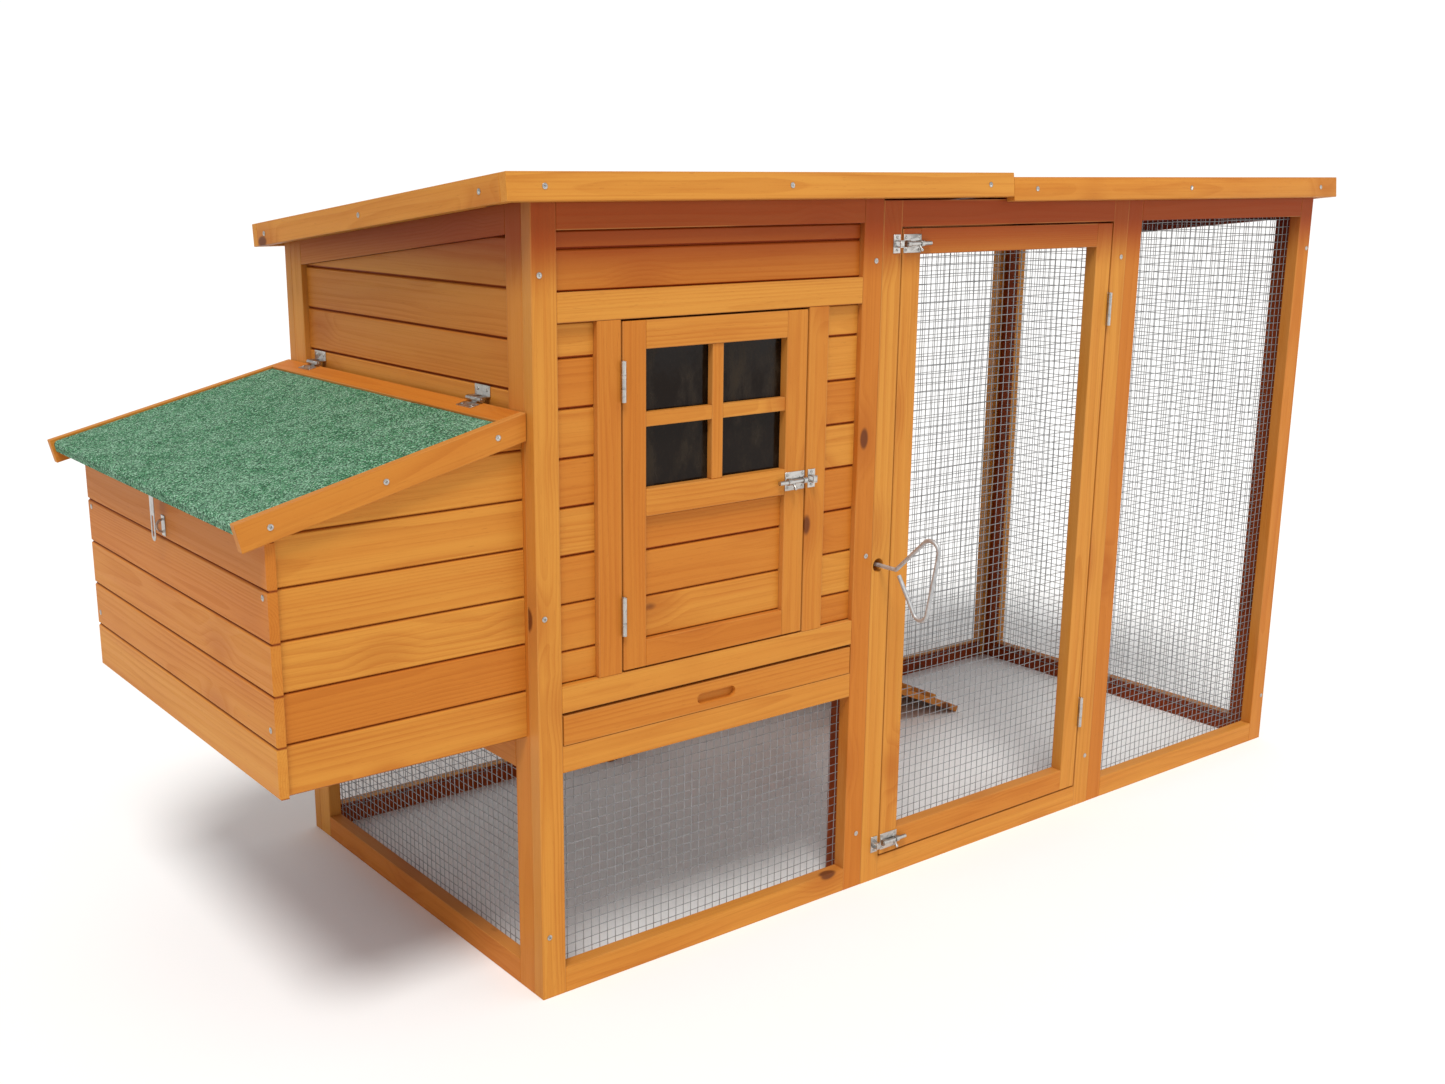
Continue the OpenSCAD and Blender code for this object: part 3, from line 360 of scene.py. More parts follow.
def zinc(name, colour, rough, spangle, metallic=1.0):
    """Zinc: cells of slightly different grey of the given size, with small clouds in the sheen and dull patches. The
    clouds and the dull patches also darken the colour as painted reflection, for dark surroundings mirrored in the
    metal."""
    f = Finish(name)
    where = f.node("ShaderNodeTexCoord", out="Object")
    grey = f.node("ShaderNodeSeparateColor", None, {0: f.cells(where, 1.0 / spangle, "Color")})
    cloud = f.noise(where, 60.0, 3.0)
    fine = f.noise(where, 900.0, 2.0)
    dull_and_reflection_patches = f.ramp(f.noise(where, 170.0, 3.0, 0.6), 0.52, 0.70)
    # painted reflection: the clouds and the dull patches darken the colour where dark surroundings would be mirrored
    tinted = f.mix(grey * 0.45 + cloud * 0.55, tuple(0.62 * c for c in colour), tuple(colour))
    tinted = f.mix(dull_and_reflection_patches * 0.35, tinted, tuple(0.50 * c for c in colour))
    f.relief(fine + cloud * 2.0, 0.07 * MM)
    return f.paint(Base_Color=tinted, Metallic=metallic, Roughness=rough + 0.16 * cloud + 0.10 * grey + 0.12 * dull_and_reflection_patches)


def gritted_felt(settings):
    """Roofing felt: every cell of a fine Voronoi is a grain of its own green, standing proud as a small dome, with
    the dark bitumen between the grains. Slow clouds make worn and dusty patches."""
    f = Finish("green_grit_felt", Specular_IOR_Level=0.22)
    where = attribute(f, "felt")
    wobble = f.noise(where, 420.0, 2.0)
    far = f.cells(where, 1.0 / settings.grit, "Distance")
    own = f.node("ShaderNodeSeparateColor", None, {0: f.cells(where, 1.0 / settings.grit, "Color")})
    patch = f.noise(where, 26.0, 5.0, 0.65)
    clump = f.noise(where, 190.0, 2.0, 0.6)
    colour = f.mix(f.ramp(own, 0.10, 0.55), tuple(settings.moss), tuple(settings.leaf))
    colour = f.mix(f.ramp(own, 0.64, 0.94) * 0.85, colour, tuple(settings.mint))
    colour = f.mix(f.ramp(patch, 0.38, 0.68) * 0.30, colour, tuple(settings.mint))
    colour = f.mix(f.ramp(clump, 0.52, 0.72) * 0.60, colour, tuple(settings.moss))
    colour = f.mix(f.ramp(far, 0.38, 0.72) * 0.80, colour, tuple(settings.gap))
    f.relief((1.0 - f.ramp(far, 0.0, 0.8)) * 0.8 + wobble * 0.3 + patch * 0.5, 0.7 * MM)
    return f.paint(Base_Color=colour, Roughness=0.84 + 0.1 * own)


def smoked_sheet():
    """Smoked plastic with faint smears: slow clouds stretched downwards change its sheen and its tone."""
    f = Finish("smoked_sheet", Specular_IOR_Level=0.12, IOR=1.49)
    where = f.node("ShaderNodeTexCoord", out="Object")
    smear = f.noise(f.scaled(where, (30.0, 30.0, 13.0)), 1.0, 5.0, 0.65)
    dust = f.noise(where, 260.0, 3.0)
    dull = f.ramp(smear, 0.45, 0.72)
    colour = f.mix(dull * 0.80 + f.ramp(dust, 0.55, 0.75) * 0.20, (0.008, 0.004, 0.002), (0.030, 0.020, 0.011))
    f.relief(smear, 0.4 * MM)
    return f.paint(Base_Color=colour, Roughness=0.10 + 0.34 * dull)


# ---- shapes


def linked(name, data):
    """A new object in the scene, at the origin, with that data."""
    made = bpy.data.objects.new(name, data)
    bpy.context.scene.collection.objects.link(made)
    return made


def mesh_object(name, points, faces, material):
    """A new object from points and lists of faces."""
    mesh = bpy.data.meshes.new(name)
    mesh.from_pydata(np.reshape(points, (-1, 3)).tolist(), [], faces)
    mesh.update()
    mesh.materials.append(material)
    return linked(name, mesh)


def gathered(pieces):
    """Several (points, faces) as one, with each piece's faces numbered after the points before it."""
    clouds, faces, count = [], [], 0
    for cloud, own in pieces:
        faces.extend([corner + count for corner in face] for face in own)
        count += len(cloud)
        clouds.append(cloud)
    return np.concatenate(clouds), faces


def shade_smooth(mesh, angle):
    """Smooth faces with edges sharper than the angle left hard."""
    mesh.polygons.foreach_set("use_smooth", np.ones(len(mesh.polygons), bool))
    mesh.set_sharp_from_angle(angle=math.radians(angle))


def solid(name, points, faces, material, angle):
    """A closed mesh object with doubles merged, every face turned outwards and edges over the angle left hard."""
    made = mesh_object(name, points, faces, material)
    work = bmesh.new()
    work.from_mesh(made.data)
    bmesh.ops.remove_doubles(work, verts=work.verts, dist=1e-6)
    bmesh.ops.recalc_face_normals(work, faces=work.faces)
    work.to_mesh(made.data)
    work.free()
    shade_smooth(made.data, angle)
    return made


def seated(made, body, slot, *nodes):
    """Sets the body of a piece and hides the nodes it replaces; the slot is not used."""
    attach(made, body)
    if nodes:
        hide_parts(*nodes)
    return made


def stands_for(made, node):
    """Seats a piece in the place of one node, with that node's body, and hides the node."""
    return seated(made, BODY_OF[node], SLOT_OF[node], node)


def tube_faces(rings, sides):
    """Quads between neighbouring rings of a tube, with a many-sided cap at each end."""
    ring, side = np.meshgrid(np.arange(rings - 1), np.arange(sides), indexing="ij")
    near, far = ring * sides, (ring + 1) * sides
    beside = (side + 1) % sides
    quads = np.stack([near + side, near + beside, far + beside, far + side], -1).reshape(-1, 4).tolist()
    return quads + [list(range(sides))[::-1], list(range((rings - 1) * sides, rings * sides))]


def tube(path, radius, sides):
    """A round section carried along a path: at each point two directions at right angles to the path, turned as
    little as they can be from point to point, hold the circle radius * (cos a, sin a)."""
    path = np.asarray(path, float)
    along = np.gradient(path, axis=0)
    along /= np.linalg.norm(along, axis=1)[:, None]
    first = np.cross(along[0], (0.31, 0.77, 0.55))
    frames = [first / np.linalg.norm(first)]
    for direction in along[1:]:
        turned = frames[-1] - direction * (frames[-1] @ direction)
        frames.append(turned / np.linalg.norm(turned))
    left = np.array(frames)
    up = np.cross(along, left)
    turn = np.linspace(0, 2 * np.pi, sides, endpoint=False)
    return path[:, None] + radius * (np.cos(turn)[None, :, None] * left[:, None]
                                     + np.sin(turn)[None, :, None] * up[:, None])


def rows_of(items, name, width=3, kind=float):
    """One attribute of all vertices, edges or faces of a mesh, as the rows of an array."""
    values = np.zeros(len(items) * width, kind)
    items.foreach_get(name, values)
    return values.reshape(-1, width)


def parts_of(mesh):
    """The loose part that each vertex is in: a vertex takes the lowest label among its neighbours until all hold."""
    edges = rows_of(mesh.edges, "vertices", 2, int)
    label = np.arange(len(mesh.vertices))
    while True:
        low = np.minimum(label[edges[:, 0]], label[edges[:, 1]])
        better = label.copy()
        np.minimum.at(better, edges[:, 0], low)
        np.minimum.at(better, edges[:, 1], low)
        better = better[better]
        if (better == label).all():
            return np.unique(label, return_inverse=True)[1], edges
        label = better


def own_axes(points, edges, level=False):
    """Length, width and thickness directions of a block: the longest edge, the longest across it, and their cross.
    With level, the length is the longest edge that lies level, as the grain of a short cladding board does."""
    runs = points[edges[:, 1]] - points[edges[:, 0]]
    length = np.linalg.norm(runs, axis=1)
    if level:
        length = np.where(np.abs(runs[:, 2]) < 0.02 * length, length, 0.0)
    along = runs[np.argmax(length)]
    along = along / np.linalg.norm(along)
    flat = runs - (runs @ along)[:, None] * along
    width = flat[np.argmax(np.linalg.norm(flat, axis=1))]
    width = width / np.linalg.norm(width)
    axes = np.array([along, width, np.cross(along, width)])
    return axes * np.where(axes[np.arange(3), np.abs(axes).argmax(1)] < 0, -1.0, 1.0)[:, None]


def cad_copy(node, name, edge, steps, sharp=20.0):
    """A copy of a CAD node with merged corners, whole faces and eased edges."""
    work = bmesh.new()
    work.from_mesh(NODES[node].data)
    bmesh.ops.remove_doubles(work, verts=work.verts, dist=2e-6)
    bmesh.ops.dissolve_limit(work, angle_limit=math.radians(1.0), verts=work.verts, edges=work.edges)
    if edge:
        corners = [e for e in work.edges if len(e.link_faces) == 2 and e.calc_face_angle(0) > math.radians(sharp)]
        bmesh.ops.bevel(work, geom=corners, offset=edge, offset_type="OFFSET", segments=steps, profile=0.5,
                        affect="EDGES", clamp_overlap=True)
    mesh = bpy.data.meshes.new(name)
    work.to_mesh(mesh)
    work.free()
    return linked(name, mesh)


def node_blocks(node):
    """Points, axes, middle and half sizes of every loose solid of a CAD node."""
    made = cad_copy(node, "measure", 0, 1)
    label, edges = parts_of(made.data)
    points = rows_of(made.data.vertices, "co")
    found = []
    for part in range(label.max() + 1):
        mine = np.flatnonzero(label == part)
        renumber = np.full(len(points), -1)
        renumber[mine] = np.arange(len(mine))
        own = edges[label[edges[:, 0]] == part]
        axes = own_axes(points[mine], renumber[own])
        spans = points[mine] @ axes.T
        low, high = spans.min(0), spans.max(0)
        found.append({"points": points[mine], "axes": axes, "middle": (low + high) / 2 @ axes,
                      "half": (high - low) / 2})
    bpy.data.objects.remove(made)
    return found


def timber(node, material, settings, edge):
    """A stained timber piece. Each solid gets four attributes.

    grain is the place in the board's own length, width and thickness, measured from a pith line that lies beside
    the board at a random place, so that rings are the distance from it. place holds the distance from the middle
    of the board's width, half that width and one random number for the whole board. kind says how deep the stain
    lies in its grooves and whether the painted shade under the eaves reaches it. inward is 1 on faces that look
    into the coop, and sets how much painted shade they get.
    """
    made = cad_copy(node, node + "_timber", edge, settings.steps)
    mesh = made.data
    label, edges = parts_of(mesh)
    points = rows_of(mesh.vertices, "co")
    draw = np.random.default_rng(sum(ord(letter) for letter in node))
    grain, place, kind = np.zeros_like(points), np.zeros_like(points), np.zeros_like(points)
    kind[:, 0] = 1.0 if node in BOARDED else 0.12
    # every piece but the fascia gets the painted shade under the eaves
    kind[:, 1] = 0.0 if node == "roof_fascia" else 1.0
    for part in range(label.max() + 1):
        mine = label == part
        axes = own_axes(points, edges[label[edges[:, 0]] == part], node in BOARDED)
        spans = points[mine] @ axes.T
        middle = (spans.min(0) + spans.max(0)) / 2
        local = spans - middle
        pith = np.array([draw.uniform(0, 30), draw.uniform(-0.03, 0.03),
                         draw.uniform(0.02, 0.12) * draw.choice([-1, 1])])
        grain[mine] = local + pith
        place[mine, 0] = local[:, 1]
        place[mine, 1] = np.abs(local[:, 1]).max()
        place[mine, 2] = draw.random()
    for name, values in (("grain", grain), ("place", place), ("kind", kind)):
        layer = mesh.attributes.new(name, "FLOAT_VECTOR", "POINT")
        layer.data.foreach_set("vector", values.astype(np.float32).ravel())
    layer = mesh.attributes.new("inward", "FLOAT", "FACE")
    layer.data.foreach_set("value", looks_inward(mesh, node).astype(np.float32))
    mesh.materials.append(material)
    return stands_for(made, node)


# painted shade goes on these undersides as on faces that look into the coop
HIGH = 0.55  # undersides above this height look inwards


def looks_inward(mesh, node):
    """How far each face looks into the coop, from 0 to 1, which is how much painted shade its wood gets.

    The wall that a face belongs to is the nearest side of the coop's box, and the face looks in by the part of its
    normal that points away from that wall. High undersides look in too, and so does everything in the middle.
    """
    centre, normal = rows_of(mesh.polygons, "center"), rows_of(mesh.polygons, "normal")
    if node in WITHIN:
        return np.ones(len(centre))
    if node in ALOOF:
        return np.zeros(len(centre))
    low, high = (np.array(c)[:2] for c in (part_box("run_front_frame")[0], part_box("run_back_frame")[1]))
    low[0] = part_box("house_front_frame")[0][0]
    gaps = np.stack([centre[:, 0] - low[0], high[0] - centre[:, 0], centre[:, 1] - low[1], high[1] - centre[:, 1]])
    wall = gaps.argmin(0)
    away = np.array([(1, 0), (-1, 0), (0, 1), (0, -1)])[wall]
    inward = (normal[:, :2] * away).sum(1)
    under = np.where(centre[:, 2] > HIGH, -normal[:, 2], 0.0)
    return np.clip(1.25 * np.maximum(inward, under), 0.0, 1.0)


# ---- operators

def in_slots(*slots):
    """The CAD nodes that are in these material slots."""
    return [node for node, slot in SLOT_OF.items() if slot in slots]


# wood painted darker as shade within the coop, wood whose faces all look inwards or none do, and boards with grooves
# between them
INSIDE = (
    "partition_frame", "partition_boards", "tray_runners", "run_side_frame", "run_back_frame", "nest_floor",
    "nest_lid_panel", "roof_battens", "roof_deck",
)
WITHIN = ("perch", "perch_brackets", "nest_divider", *(node for node in INSIDE if not node.startswith("run_")))
ALOOF = ("roof_fascia", "nest_front_wall", "nest_side_walls", "nest_lid_frame", "nest_battens", "ramp_board",
         "ramp_cleats", "tray_front", "window_muntins", "pop_door", "pop_door_runners")
BOARDED = ("house_front_boards", "house_side_boards", "house_back_boards", "partition_boards",
           "nest_front_wall", "nest_side_walls", "house_door_boards")


class COOP_OT_timber(bpy.types.Operator):
    """Makes every board, batten and stile from stained fir with eased edges and grain of its own"""

    bl_idname = "coop.timber"
    bl_label = "Timber"

    def execute(self, context):
        s = context.scene.coop_timber
        # painted shade: the pieces within the coop get a darker copy of the stain, for the shade that falls there
        sunny = stained_wood("honey_fir", s, 1.0)
        shady = stained_wood("inner_fir", s, 0.90)
        for node in in_slots("stained_fir", "inner_fir"):
            edge = 0.5 * s.edge if node in BOARDED else s.edge
            timber(node, shady if node in INSIDE else sunny, s, edge)
        return {"FINISHED"}


def span_across(outline, value, axis):
    """Where the line at that value of one axis enters and leaves a convex outline, along the other axis."""
    a, b = outline, np.roll(outline, -1, axis=0)
    rise = b[:, axis] - a[:, axis]
    with np.errstate(divide="ignore", invalid="ignore"):
        share = (value[:, None] - a[None, :, axis]) / rise[None]
    hit = (share >= 0) & (share <= 1) & (np.abs(rise) > 1e-9)
    other = 1 - axis
    place = a[None, :, other] + np.where(hit, share, 0) * (b - a)[None, :, other]
    return np.where(hit, place, np.inf).min(1), np.where(hit, place, -np.inf).max(1)


def convex_outline(points):
    """The corners of a flat convex sheet in order round their middle."""
    flat = np.unique(np.round(points, 5), axis=0)
    about = flat - flat.mean(0)
    return flat[np.argsort(np.arctan2(about[:, 1], about[:, 0]))]


WIRE_SIDES = 6
WIRE_APART = 0.3  # how far each layer of wires lies from the middle of the sheet, in wire diameters
WAVELENGTH = 0.23


def wire_sheet(block, s, seed):
    """Points and faces of one sheet of welded mesh.

    Wires stand at every pitch in both directions of the sheet and end at its outline. Every point of a wire is
    moved by the same slow waves, sag * sin(u) * sin(v), in and out of the sheet and along it, so that both layers
    stay welded. Each wire is a six-sided tube whose section is the same all along.
    """
    axes, middle = block["axes"], block["middle"]
    normal_at = int(np.argmin(block["half"]))
    u_at, v_at = [i for i in range(3) if i != normal_at]
    local = (block["points"] - middle) @ axes.T
    outline = convex_outline(local[:, [u_at, v_at]])
    draw = np.random.default_rng(seed)
    phase = draw.uniform(0, 2 * np.pi, 6)
    wave = 2 * np.pi / WAVELENGTH
    turn = np.linspace(0, 2 * np.pi, WIRE_SIDES, endpoint=False)
    wires = []
    for axis, level in ((0, -WIRE_APART), (1, WIRE_APART)):
        low, high = outline[:, axis].min(), outline[:, axis].max()
        number = int((high - low - 2 * s.gauge) / s.pitch)
        place = (low + high) / 2 + (np.arange(number + 1) - number / 2) * s.pitch
        start, end = span_across(outline, place, axis)
        keep = end - start > s.pitch
        place, start, end = place[keep], start[keep], end[keep]
        rings = int(np.ceil((end - start).max() / s.stride)) + 1
        run = start[:, None] + (end - start)[:, None] * np.linspace(0, 1, rings)[None]
        fixed = np.broadcast_to(place[:, None], run.shape)
        u, v = (fixed, run) if axis == 0 else (run, fixed)
        shift = s.sag * np.sin(u * wave + phase[0]) * np.sin(v * wave * 0.8 + phase[1])
        du = 0.7 * s.sag * np.sin(v * wave * 1.3 + phase[2]) * np.sin(u * wave * 0.5 + phase[3])
        dv = 0.7 * s.sag * np.sin(u * wave * 1.2 + phase[4]) * np.sin(v * wave * 0.6 + phase[5])
        line = (middle + (u + du)[..., None] * axes[u_at] + (v + dv)[..., None] * axes[v_at]
                + (0.45 * shift + level * s.gauge)[..., None] * axes[normal_at])
        side = axes[u_at] if axis == 0 else axes[v_at]
        ring = (np.cos(turn)[:, None] * side + np.sin(turn)[:, None] * axes[normal_at]) * s.gauge / 2
        own = tube_faces(rings, WIRE_SIDES)
        wires.extend((cloud.reshape(-1, 3), own) for cloud in line[:, :, None] + ring[None, None])
    return gathered(wires)


class COOP_OT_mesh(bpy.types.Operator):
    """Makes the sheets of welded wire mesh, wire by wire"""

    bl_idname = "coop.mesh"
    bl_label = "Wire mesh"

    def execute(self, context):
        s = context.scene.coop_mesh
        coat = zinc("zinc_wire", s.tint, 0.40, 6 * MM, metallic=0.70)
        for node in in_slots("zinc_mesh"):
            sheets = [wire_sheet(block, s, seed + len(node)) for seed, block in enumerate(node_blocks(node))]
            stands_for(solid(node + "_wires", *gathered(sheets), coat, 50), node)
        return {"FINISHED"}


def felt_sheet(name, corner, along, down, up, width, line, material, s, seed):
    """A sheet of felt: a line in the plane of down and up, with its thickness behind it, carried along its width.

    line holds (distance down, height) of the top face; the under face lies a thickness behind it at right angles.
    The sheet's height is moved by ripple * (0.8 + 0.6 * wave), where wave is a sum of slow sines, and this fades
    at both ends.
    """
    line = np.asarray(line, float)
    slope = np.gradient(line, axis=0)
    slope /= np.linalg.norm(slope, axis=1)[:, None]
    behind = line - s.thick * np.stack([-slope[:, 1], slope[:, 0]], -1)
    loop = np.concatenate([line, behind[::-1]])
    rings = max(2, int(width / (12 * MM)))
    across = np.linspace(0, width, rings)
    draw = np.random.default_rng(seed)
    phase = draw.uniform(0, 2 * np.pi, 4)
    fade = np.sin(np.pi * across / width)[:, None] ** 0.5
    wave = (np.sin(across[:, None] * 31 + phase[0]) * np.sin(loop[None, :, 0] * 23 + phase[1])
            + 0.6 * np.sin(across[:, None] * 83 + phase[2]) * np.sin(loop[None, :, 0] * 61 + phase[3]))
    height = loop[None, :, 1] - s.ripple * (0.8 + 0.6 * wave) * fade
    points = (np.asarray(corner) + across[:, None, None] * along + loop[None, :, :1] * down
              + height[..., None] * up)
    made = solid(name, points, tube_faces(rings, len(loop)), material, 40)
    layer = made.data.attributes.new("felt", "FLOAT_VECTOR", "POINT")
    layer.data.foreach_set("vector", rows_of(made.data.vertices, "co").astype(np.float32).ravel())
    return made


class COOP_OT_felt(bpy.types.Operator):
    """Lays the gritted felt on the nest lid, with its lip bent over the front edge, and on both roof halves"""

    bl_idname = "coop.felt"
    bl_label = "Felt"

    def execute(self, context):
        s = context.scene.coop_felt
        grit = gritted_felt(s)
        block = node_blocks("nest_lid_felt")[0]
        axes = lid_axes()
        along, down, up = axes
        spans = block["points"] @ axes.T
        low, high = spans.min(0), spans.max(0)
        reach, drop, r = high[1] - low[1], high[2] - low[2], s.lip
        trim = 0.2 * MM
        bend = np.linspace(0, np.pi / 2, 8)
        line = np.concatenate([
            np.stack([np.linspace(trim, reach - r, 27, endpoint=False), np.zeros(27)], -1),
            np.stack([reach - r + r * np.sin(bend), r * np.cos(bend) - r], -1),
            np.stack([np.full(3, reach), np.linspace(-r, -drop, 4)[1:]], -1)])
        corner = (low[0] + 0.3 * MM) * along + low[1] * down + high[2] * up
        width = high[0] - low[0] - 0.6 * MM
        lid = felt_sheet("nest_lid_felt_sheet", corner, along, down, up, width, line, grit, s, 3)
        stands_for(lid, "nest_lid_felt")
        length = np.linalg.norm(np.diff(line, axis=0), axis=1).sum()
        for number, block in enumerate(node_blocks("roof_felt")):
            along, down, up = block["axes"]
            half = block["half"]
            corner = block["middle"] - half[0] * along - half[1] * down + half[2] * up
            line = np.stack([np.linspace(trim, 2 * half[1] - trim, 40), np.zeros(40)], -1)
            sheet = felt_sheet(f"roof_felt_sheet_{number + 1}", corner + trim * along, along, down, up,
                               2 * half[0] - 2 * trim, line, grit, s, 11 + number)
            stands_for(sheet, "roof_felt")
            2 * half[0]
            2 * half[1]
        return {"FINISHED"}


class COOP_OT_hardware(bpy.types.Operator):
    """Makes the hinges, bolts, hasp and tray from stamped metal with rounded edges"""

    bl_idname = "coop.hardware"
    bl_label = "Hardware"

    def execute(self, context):
        s = context.scene.coop_metal
        bright = zinc("bright_zinc", s.plate, 0.20, 9 * MM)
        spangled = zinc("spangled_sheet", s.sheet, 0.38, 14 * MM)
        for node in in_slots("zinc_hardware", "galvanised_tray"):
            made = cad_copy(node, node + "_metal", s.edge, 1, sharp=35.0)
            shade_smooth(made.data, 40)
            made.data.materials.append(spangled if node == "tray_pan" else bright)
            stands_for(made, node)
        return {"FINISHED"}


def screw_head(middle, out, radius, height, turn):
    """A pan head with a cross in it, as a surface of radius and angle.

    The height is a dome, height * (1 - 0.55 * (r / radius) ** 4), less a cross whose arms are where the distance
    from one of two crossed lines is small, and it falls to the seat at the rim.
    """
    rings, sides = 12, 32
    r = np.concatenate([[0.0], np.linspace(0.09, 1.0, rings - 2), [1.0]]) * radius
    angle = np.linspace(0, 2 * np.pi, sides, endpoint=False)
    rr, aa = np.meshgrid(r, angle, indexing="ij")
    x, y = rr * np.cos(aa), rr * np.sin(aa)
    arm = np.minimum(np.abs(x), np.abs(y))
    depth = np.clip(1.6 - arm / (0.09 * radius), 0, 1) * np.clip(2.8 - rr / (0.24 * radius), 0, 1)
    z = height * (1 - 0.55 * (rr / radius) ** 4) - depth * height * 0.75
    z[-1] = 0.0
    out = np.asarray(out, float)
    first = np.cross(out, (0.2, 0.9, 0.4))
    first /= np.linalg.norm(first)
    second = np.cross(out, first)
    c, q = math.cos(turn), math.sin(turn)
    points = (np.asarray(middle) + (c * x - q * y)[..., None] * first + (q * x + c * y)[..., None] * second
              + z[..., None] * out)
    return points.reshape(-1, 3), tube_faces(rings, sides)


def screw_set(name, places, material):
    """Several screw heads as one piece; places holds (middle of the seat, outward direction, radius, height)."""
    draw = np.random.default_rng(len(name))
    heads = [screw_head(*place, draw.uniform(0, np.pi / 2)) for place in places]
    return solid(name, *gathered(heads), material, 35)


class COOP_OT_screws(bpy.types.Operator):
    """Puts a cross-head screw wherever the frame has a screw head"""

    bl_idname = "coop.screws"
    bl_label = "Screws"

    def execute(self, context):
        bright = bpy.data.materials["bright_zinc"]
        for node in in_slots("zinc_screws"):
            places = [head_place(block) for block in node_blocks(node)]
            stands_for(screw_set(node + "_heads", places, bright), node)
        s = context.scene.coop_metal
        for node in ("house_door_bolt_plate", "run_door_bolt_plates", "bolt_keepers"):
            made = screw_set(node + "_screws", plate_screws(node, s), bright)
            seated(made, BODY_OF[node], "zinc_screws")
        seated(screw_set("lid_leaf_screws", lid_leaf_screws(s), bright), "nest_lid", "zinc_screws")
        seated(screw_set("wall_leaf_screws", wall_leaf_screws(s), bright), "coop", "zinc_screws")
        return {"FINISHED"}


def head_place(block):
    """Seat, direction, radius and height of the head that a flat disc stands for; it faces away from the middle."""
    thin = int(np.argmin(block["half"]))
    half, out, centre = block["half"][thin], block["axes"][thin], block["middle"]
    if (centre - np.mean(CAD_BOX, axis=0)) @ out < 0:
        out = -out
    return centre - half * out, out, max(block["half"]), 2 * half


PLATE_INSET = 3.7 * MM
LEAF_INSET = 5.5 * MM
LEAF_SPREAD = 0.31  # how far a leaf's screws are from its middle, as a share of its length
HEAD_RISE = 0.45  # height of a small head, as a share of its radius


def plate_screws(node, s):
    """Screws in the upright plates of a bolt: four near the corners of a long plate, two in a short one."""
    places = []
    for block in node_blocks(node):
        low, high = block["points"].min(0), block["points"].max(0)
        if high[2] - low[2] < 20 * MM:
            continue
        middle = (low + high) / 2
        long = high[0] - low[0] > 25 * MM
        for x in (low[0] + PLATE_INSET, high[0] - PLATE_INSET) if long else (middle[0],):
            for z in (low[2] + PLATE_INSET, high[2] - PLATE_INSET):
                places.append(((x, high[1] - s.plate_t, z), (0, -1, 0), s.head, HEAD_RISE * s.head))
    return places


def lid_axes():
    """The directions of the sloping lid: along its hinge, down its slope and out of its face."""
    along, down, up = node_blocks("nest_lid_panel")[0]["axes"]
    return np.array([along, -down if down[0] > 0 else down, -up if up[2] < 0 else up])


def lid_leaf_screws(s):
    """Two screws in each hinge leaf that lies on the sloping lid, on its far side from the barrel."""
    axes = lid_axes()
    places = []
    for block in node_blocks("lid_hinge_leaves"):
        spans = block["points"] @ axes.T
        low, high = spans.min(0), spans.max(0)
        face = spans[spans[:, 1] > high[1] - 1 * MM][:, 2].max()
        for k in (-1, 1):
            along = (low[0] + high[0]) / 2 + k * LEAF_SPREAD * (high[0] - low[0])
            place = np.array([along, high[1] - LEAF_INSET, face]) @ axes
            places.append((place, axes[2], s.head, HEAD_RISE * s.head))
    return places


def wall_leaf_screws(s):
    """Two screws in each hinge leaf on the wall above the lid."""
    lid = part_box("lid_hinge_leaves")
    places = []
    for block in node_blocks("fixed_hinge_leaves"):
        low, high = block["points"].min(0), block["points"].max(0)
        if high[0] > lid[1][0] + 20 * MM or high[1] - low[1] < 25 * MM:  # not one of the long leaves over the lid
            continue
        for k in (-1, 1):
            y = (low[1] + high[1]) / 2 + k * LEAF_SPREAD * (high[1] - low[1])
            places.append(((high[0] - s.plate_t, y, high[2] - LEAF_INSET), (-1, 0, 0), s.head, HEAD_RISE * s.head))
    return places


def rounded_path(corners, radii, steps):
    """A path of straight runs whose corners are arcs that leave and join the runs at the same slope."""
    corners = [np.asarray(c, float) for c in corners]
    path = [corners[0]]
    for before, here, after, radius in zip(corners, corners[1:], corners[2:], radii):
        back, ahead = before - here, after - here
        back_len, ahead_len = np.linalg.norm(back), np.linalg.norm(ahead)
        back, ahead = back / back_len, ahead / ahead_len
        half = math.acos(np.clip(back @ ahead, -1, 1)) / 2
        reach = min(radius / math.tan(half), 0.45 * back_len, 0.45 * ahead_len)
        r = reach * math.tan(half)
        bisector = (back + ahead) / np.linalg.norm(back + ahead)
        centre = here + bisector * r / math.sin(half)
        first = (here + back * reach - centre) / r
        last = (here + ahead * reach - centre) / r
        sweep = math.acos(np.clip(first @ last, -1, 1))
        t = np.linspace(0, 1, steps)[:, None]
        arc = (np.sin((1 - t) * sweep) * first + np.sin(t * sweep) * last) / math.sin(sweep)
        path.extend(centre + r * arc)
    path.append(corners[-1])
    return np.array(path)


ROD_SIDES = 20
LOOP = ((0, 0), (-87 * MM, 82 * MM), (-56 * MM, -85 * MM), (-6 * MM, -7 * MM))  # corners, from the loop's first bend


class COOP_OT_pull_rod(bpy.types.Operator):
    """Bends the galvanised pull rod with its three-cornered loop"""

    bl_idname = "coop.pull_rod"
    bl_label = "Pull rod"

    def execute(self, context):
        s = context.scene.coop_metal
        points = rows_of(NODES["pull_rod"].data.vertices, "co")
        low, high = points.min(0), points.max(0)
        r = (high[0] - low[0]) / 2 - 0.1 * MM
        x = (low[0] + high[0]) / 2
        far = points[points[:, 1] > high[1] - 0.02]
        level = (far[:, 2].min() + far[:, 2].max()) / 2
        bend_y = low[1] + r + s.loop
        corners = [(x, high[1], level)] + [(x, bend_y + y, level + z) for y, z in LOOP]
        path = rounded_path(corners, (4 * MM, s.bend, 0.87 * s.bend), 14)
        coat = zinc("rod_zinc", s.sheet, 0.30, 5 * MM, metallic=0.50)
        made = solid("pull_rod_bent", tube(path, r, ROD_SIDES), tube_faces(len(path), ROD_SIDES), coat, 40)
        stands_for(made, "pull_rod")
        return {"FINISHED"}


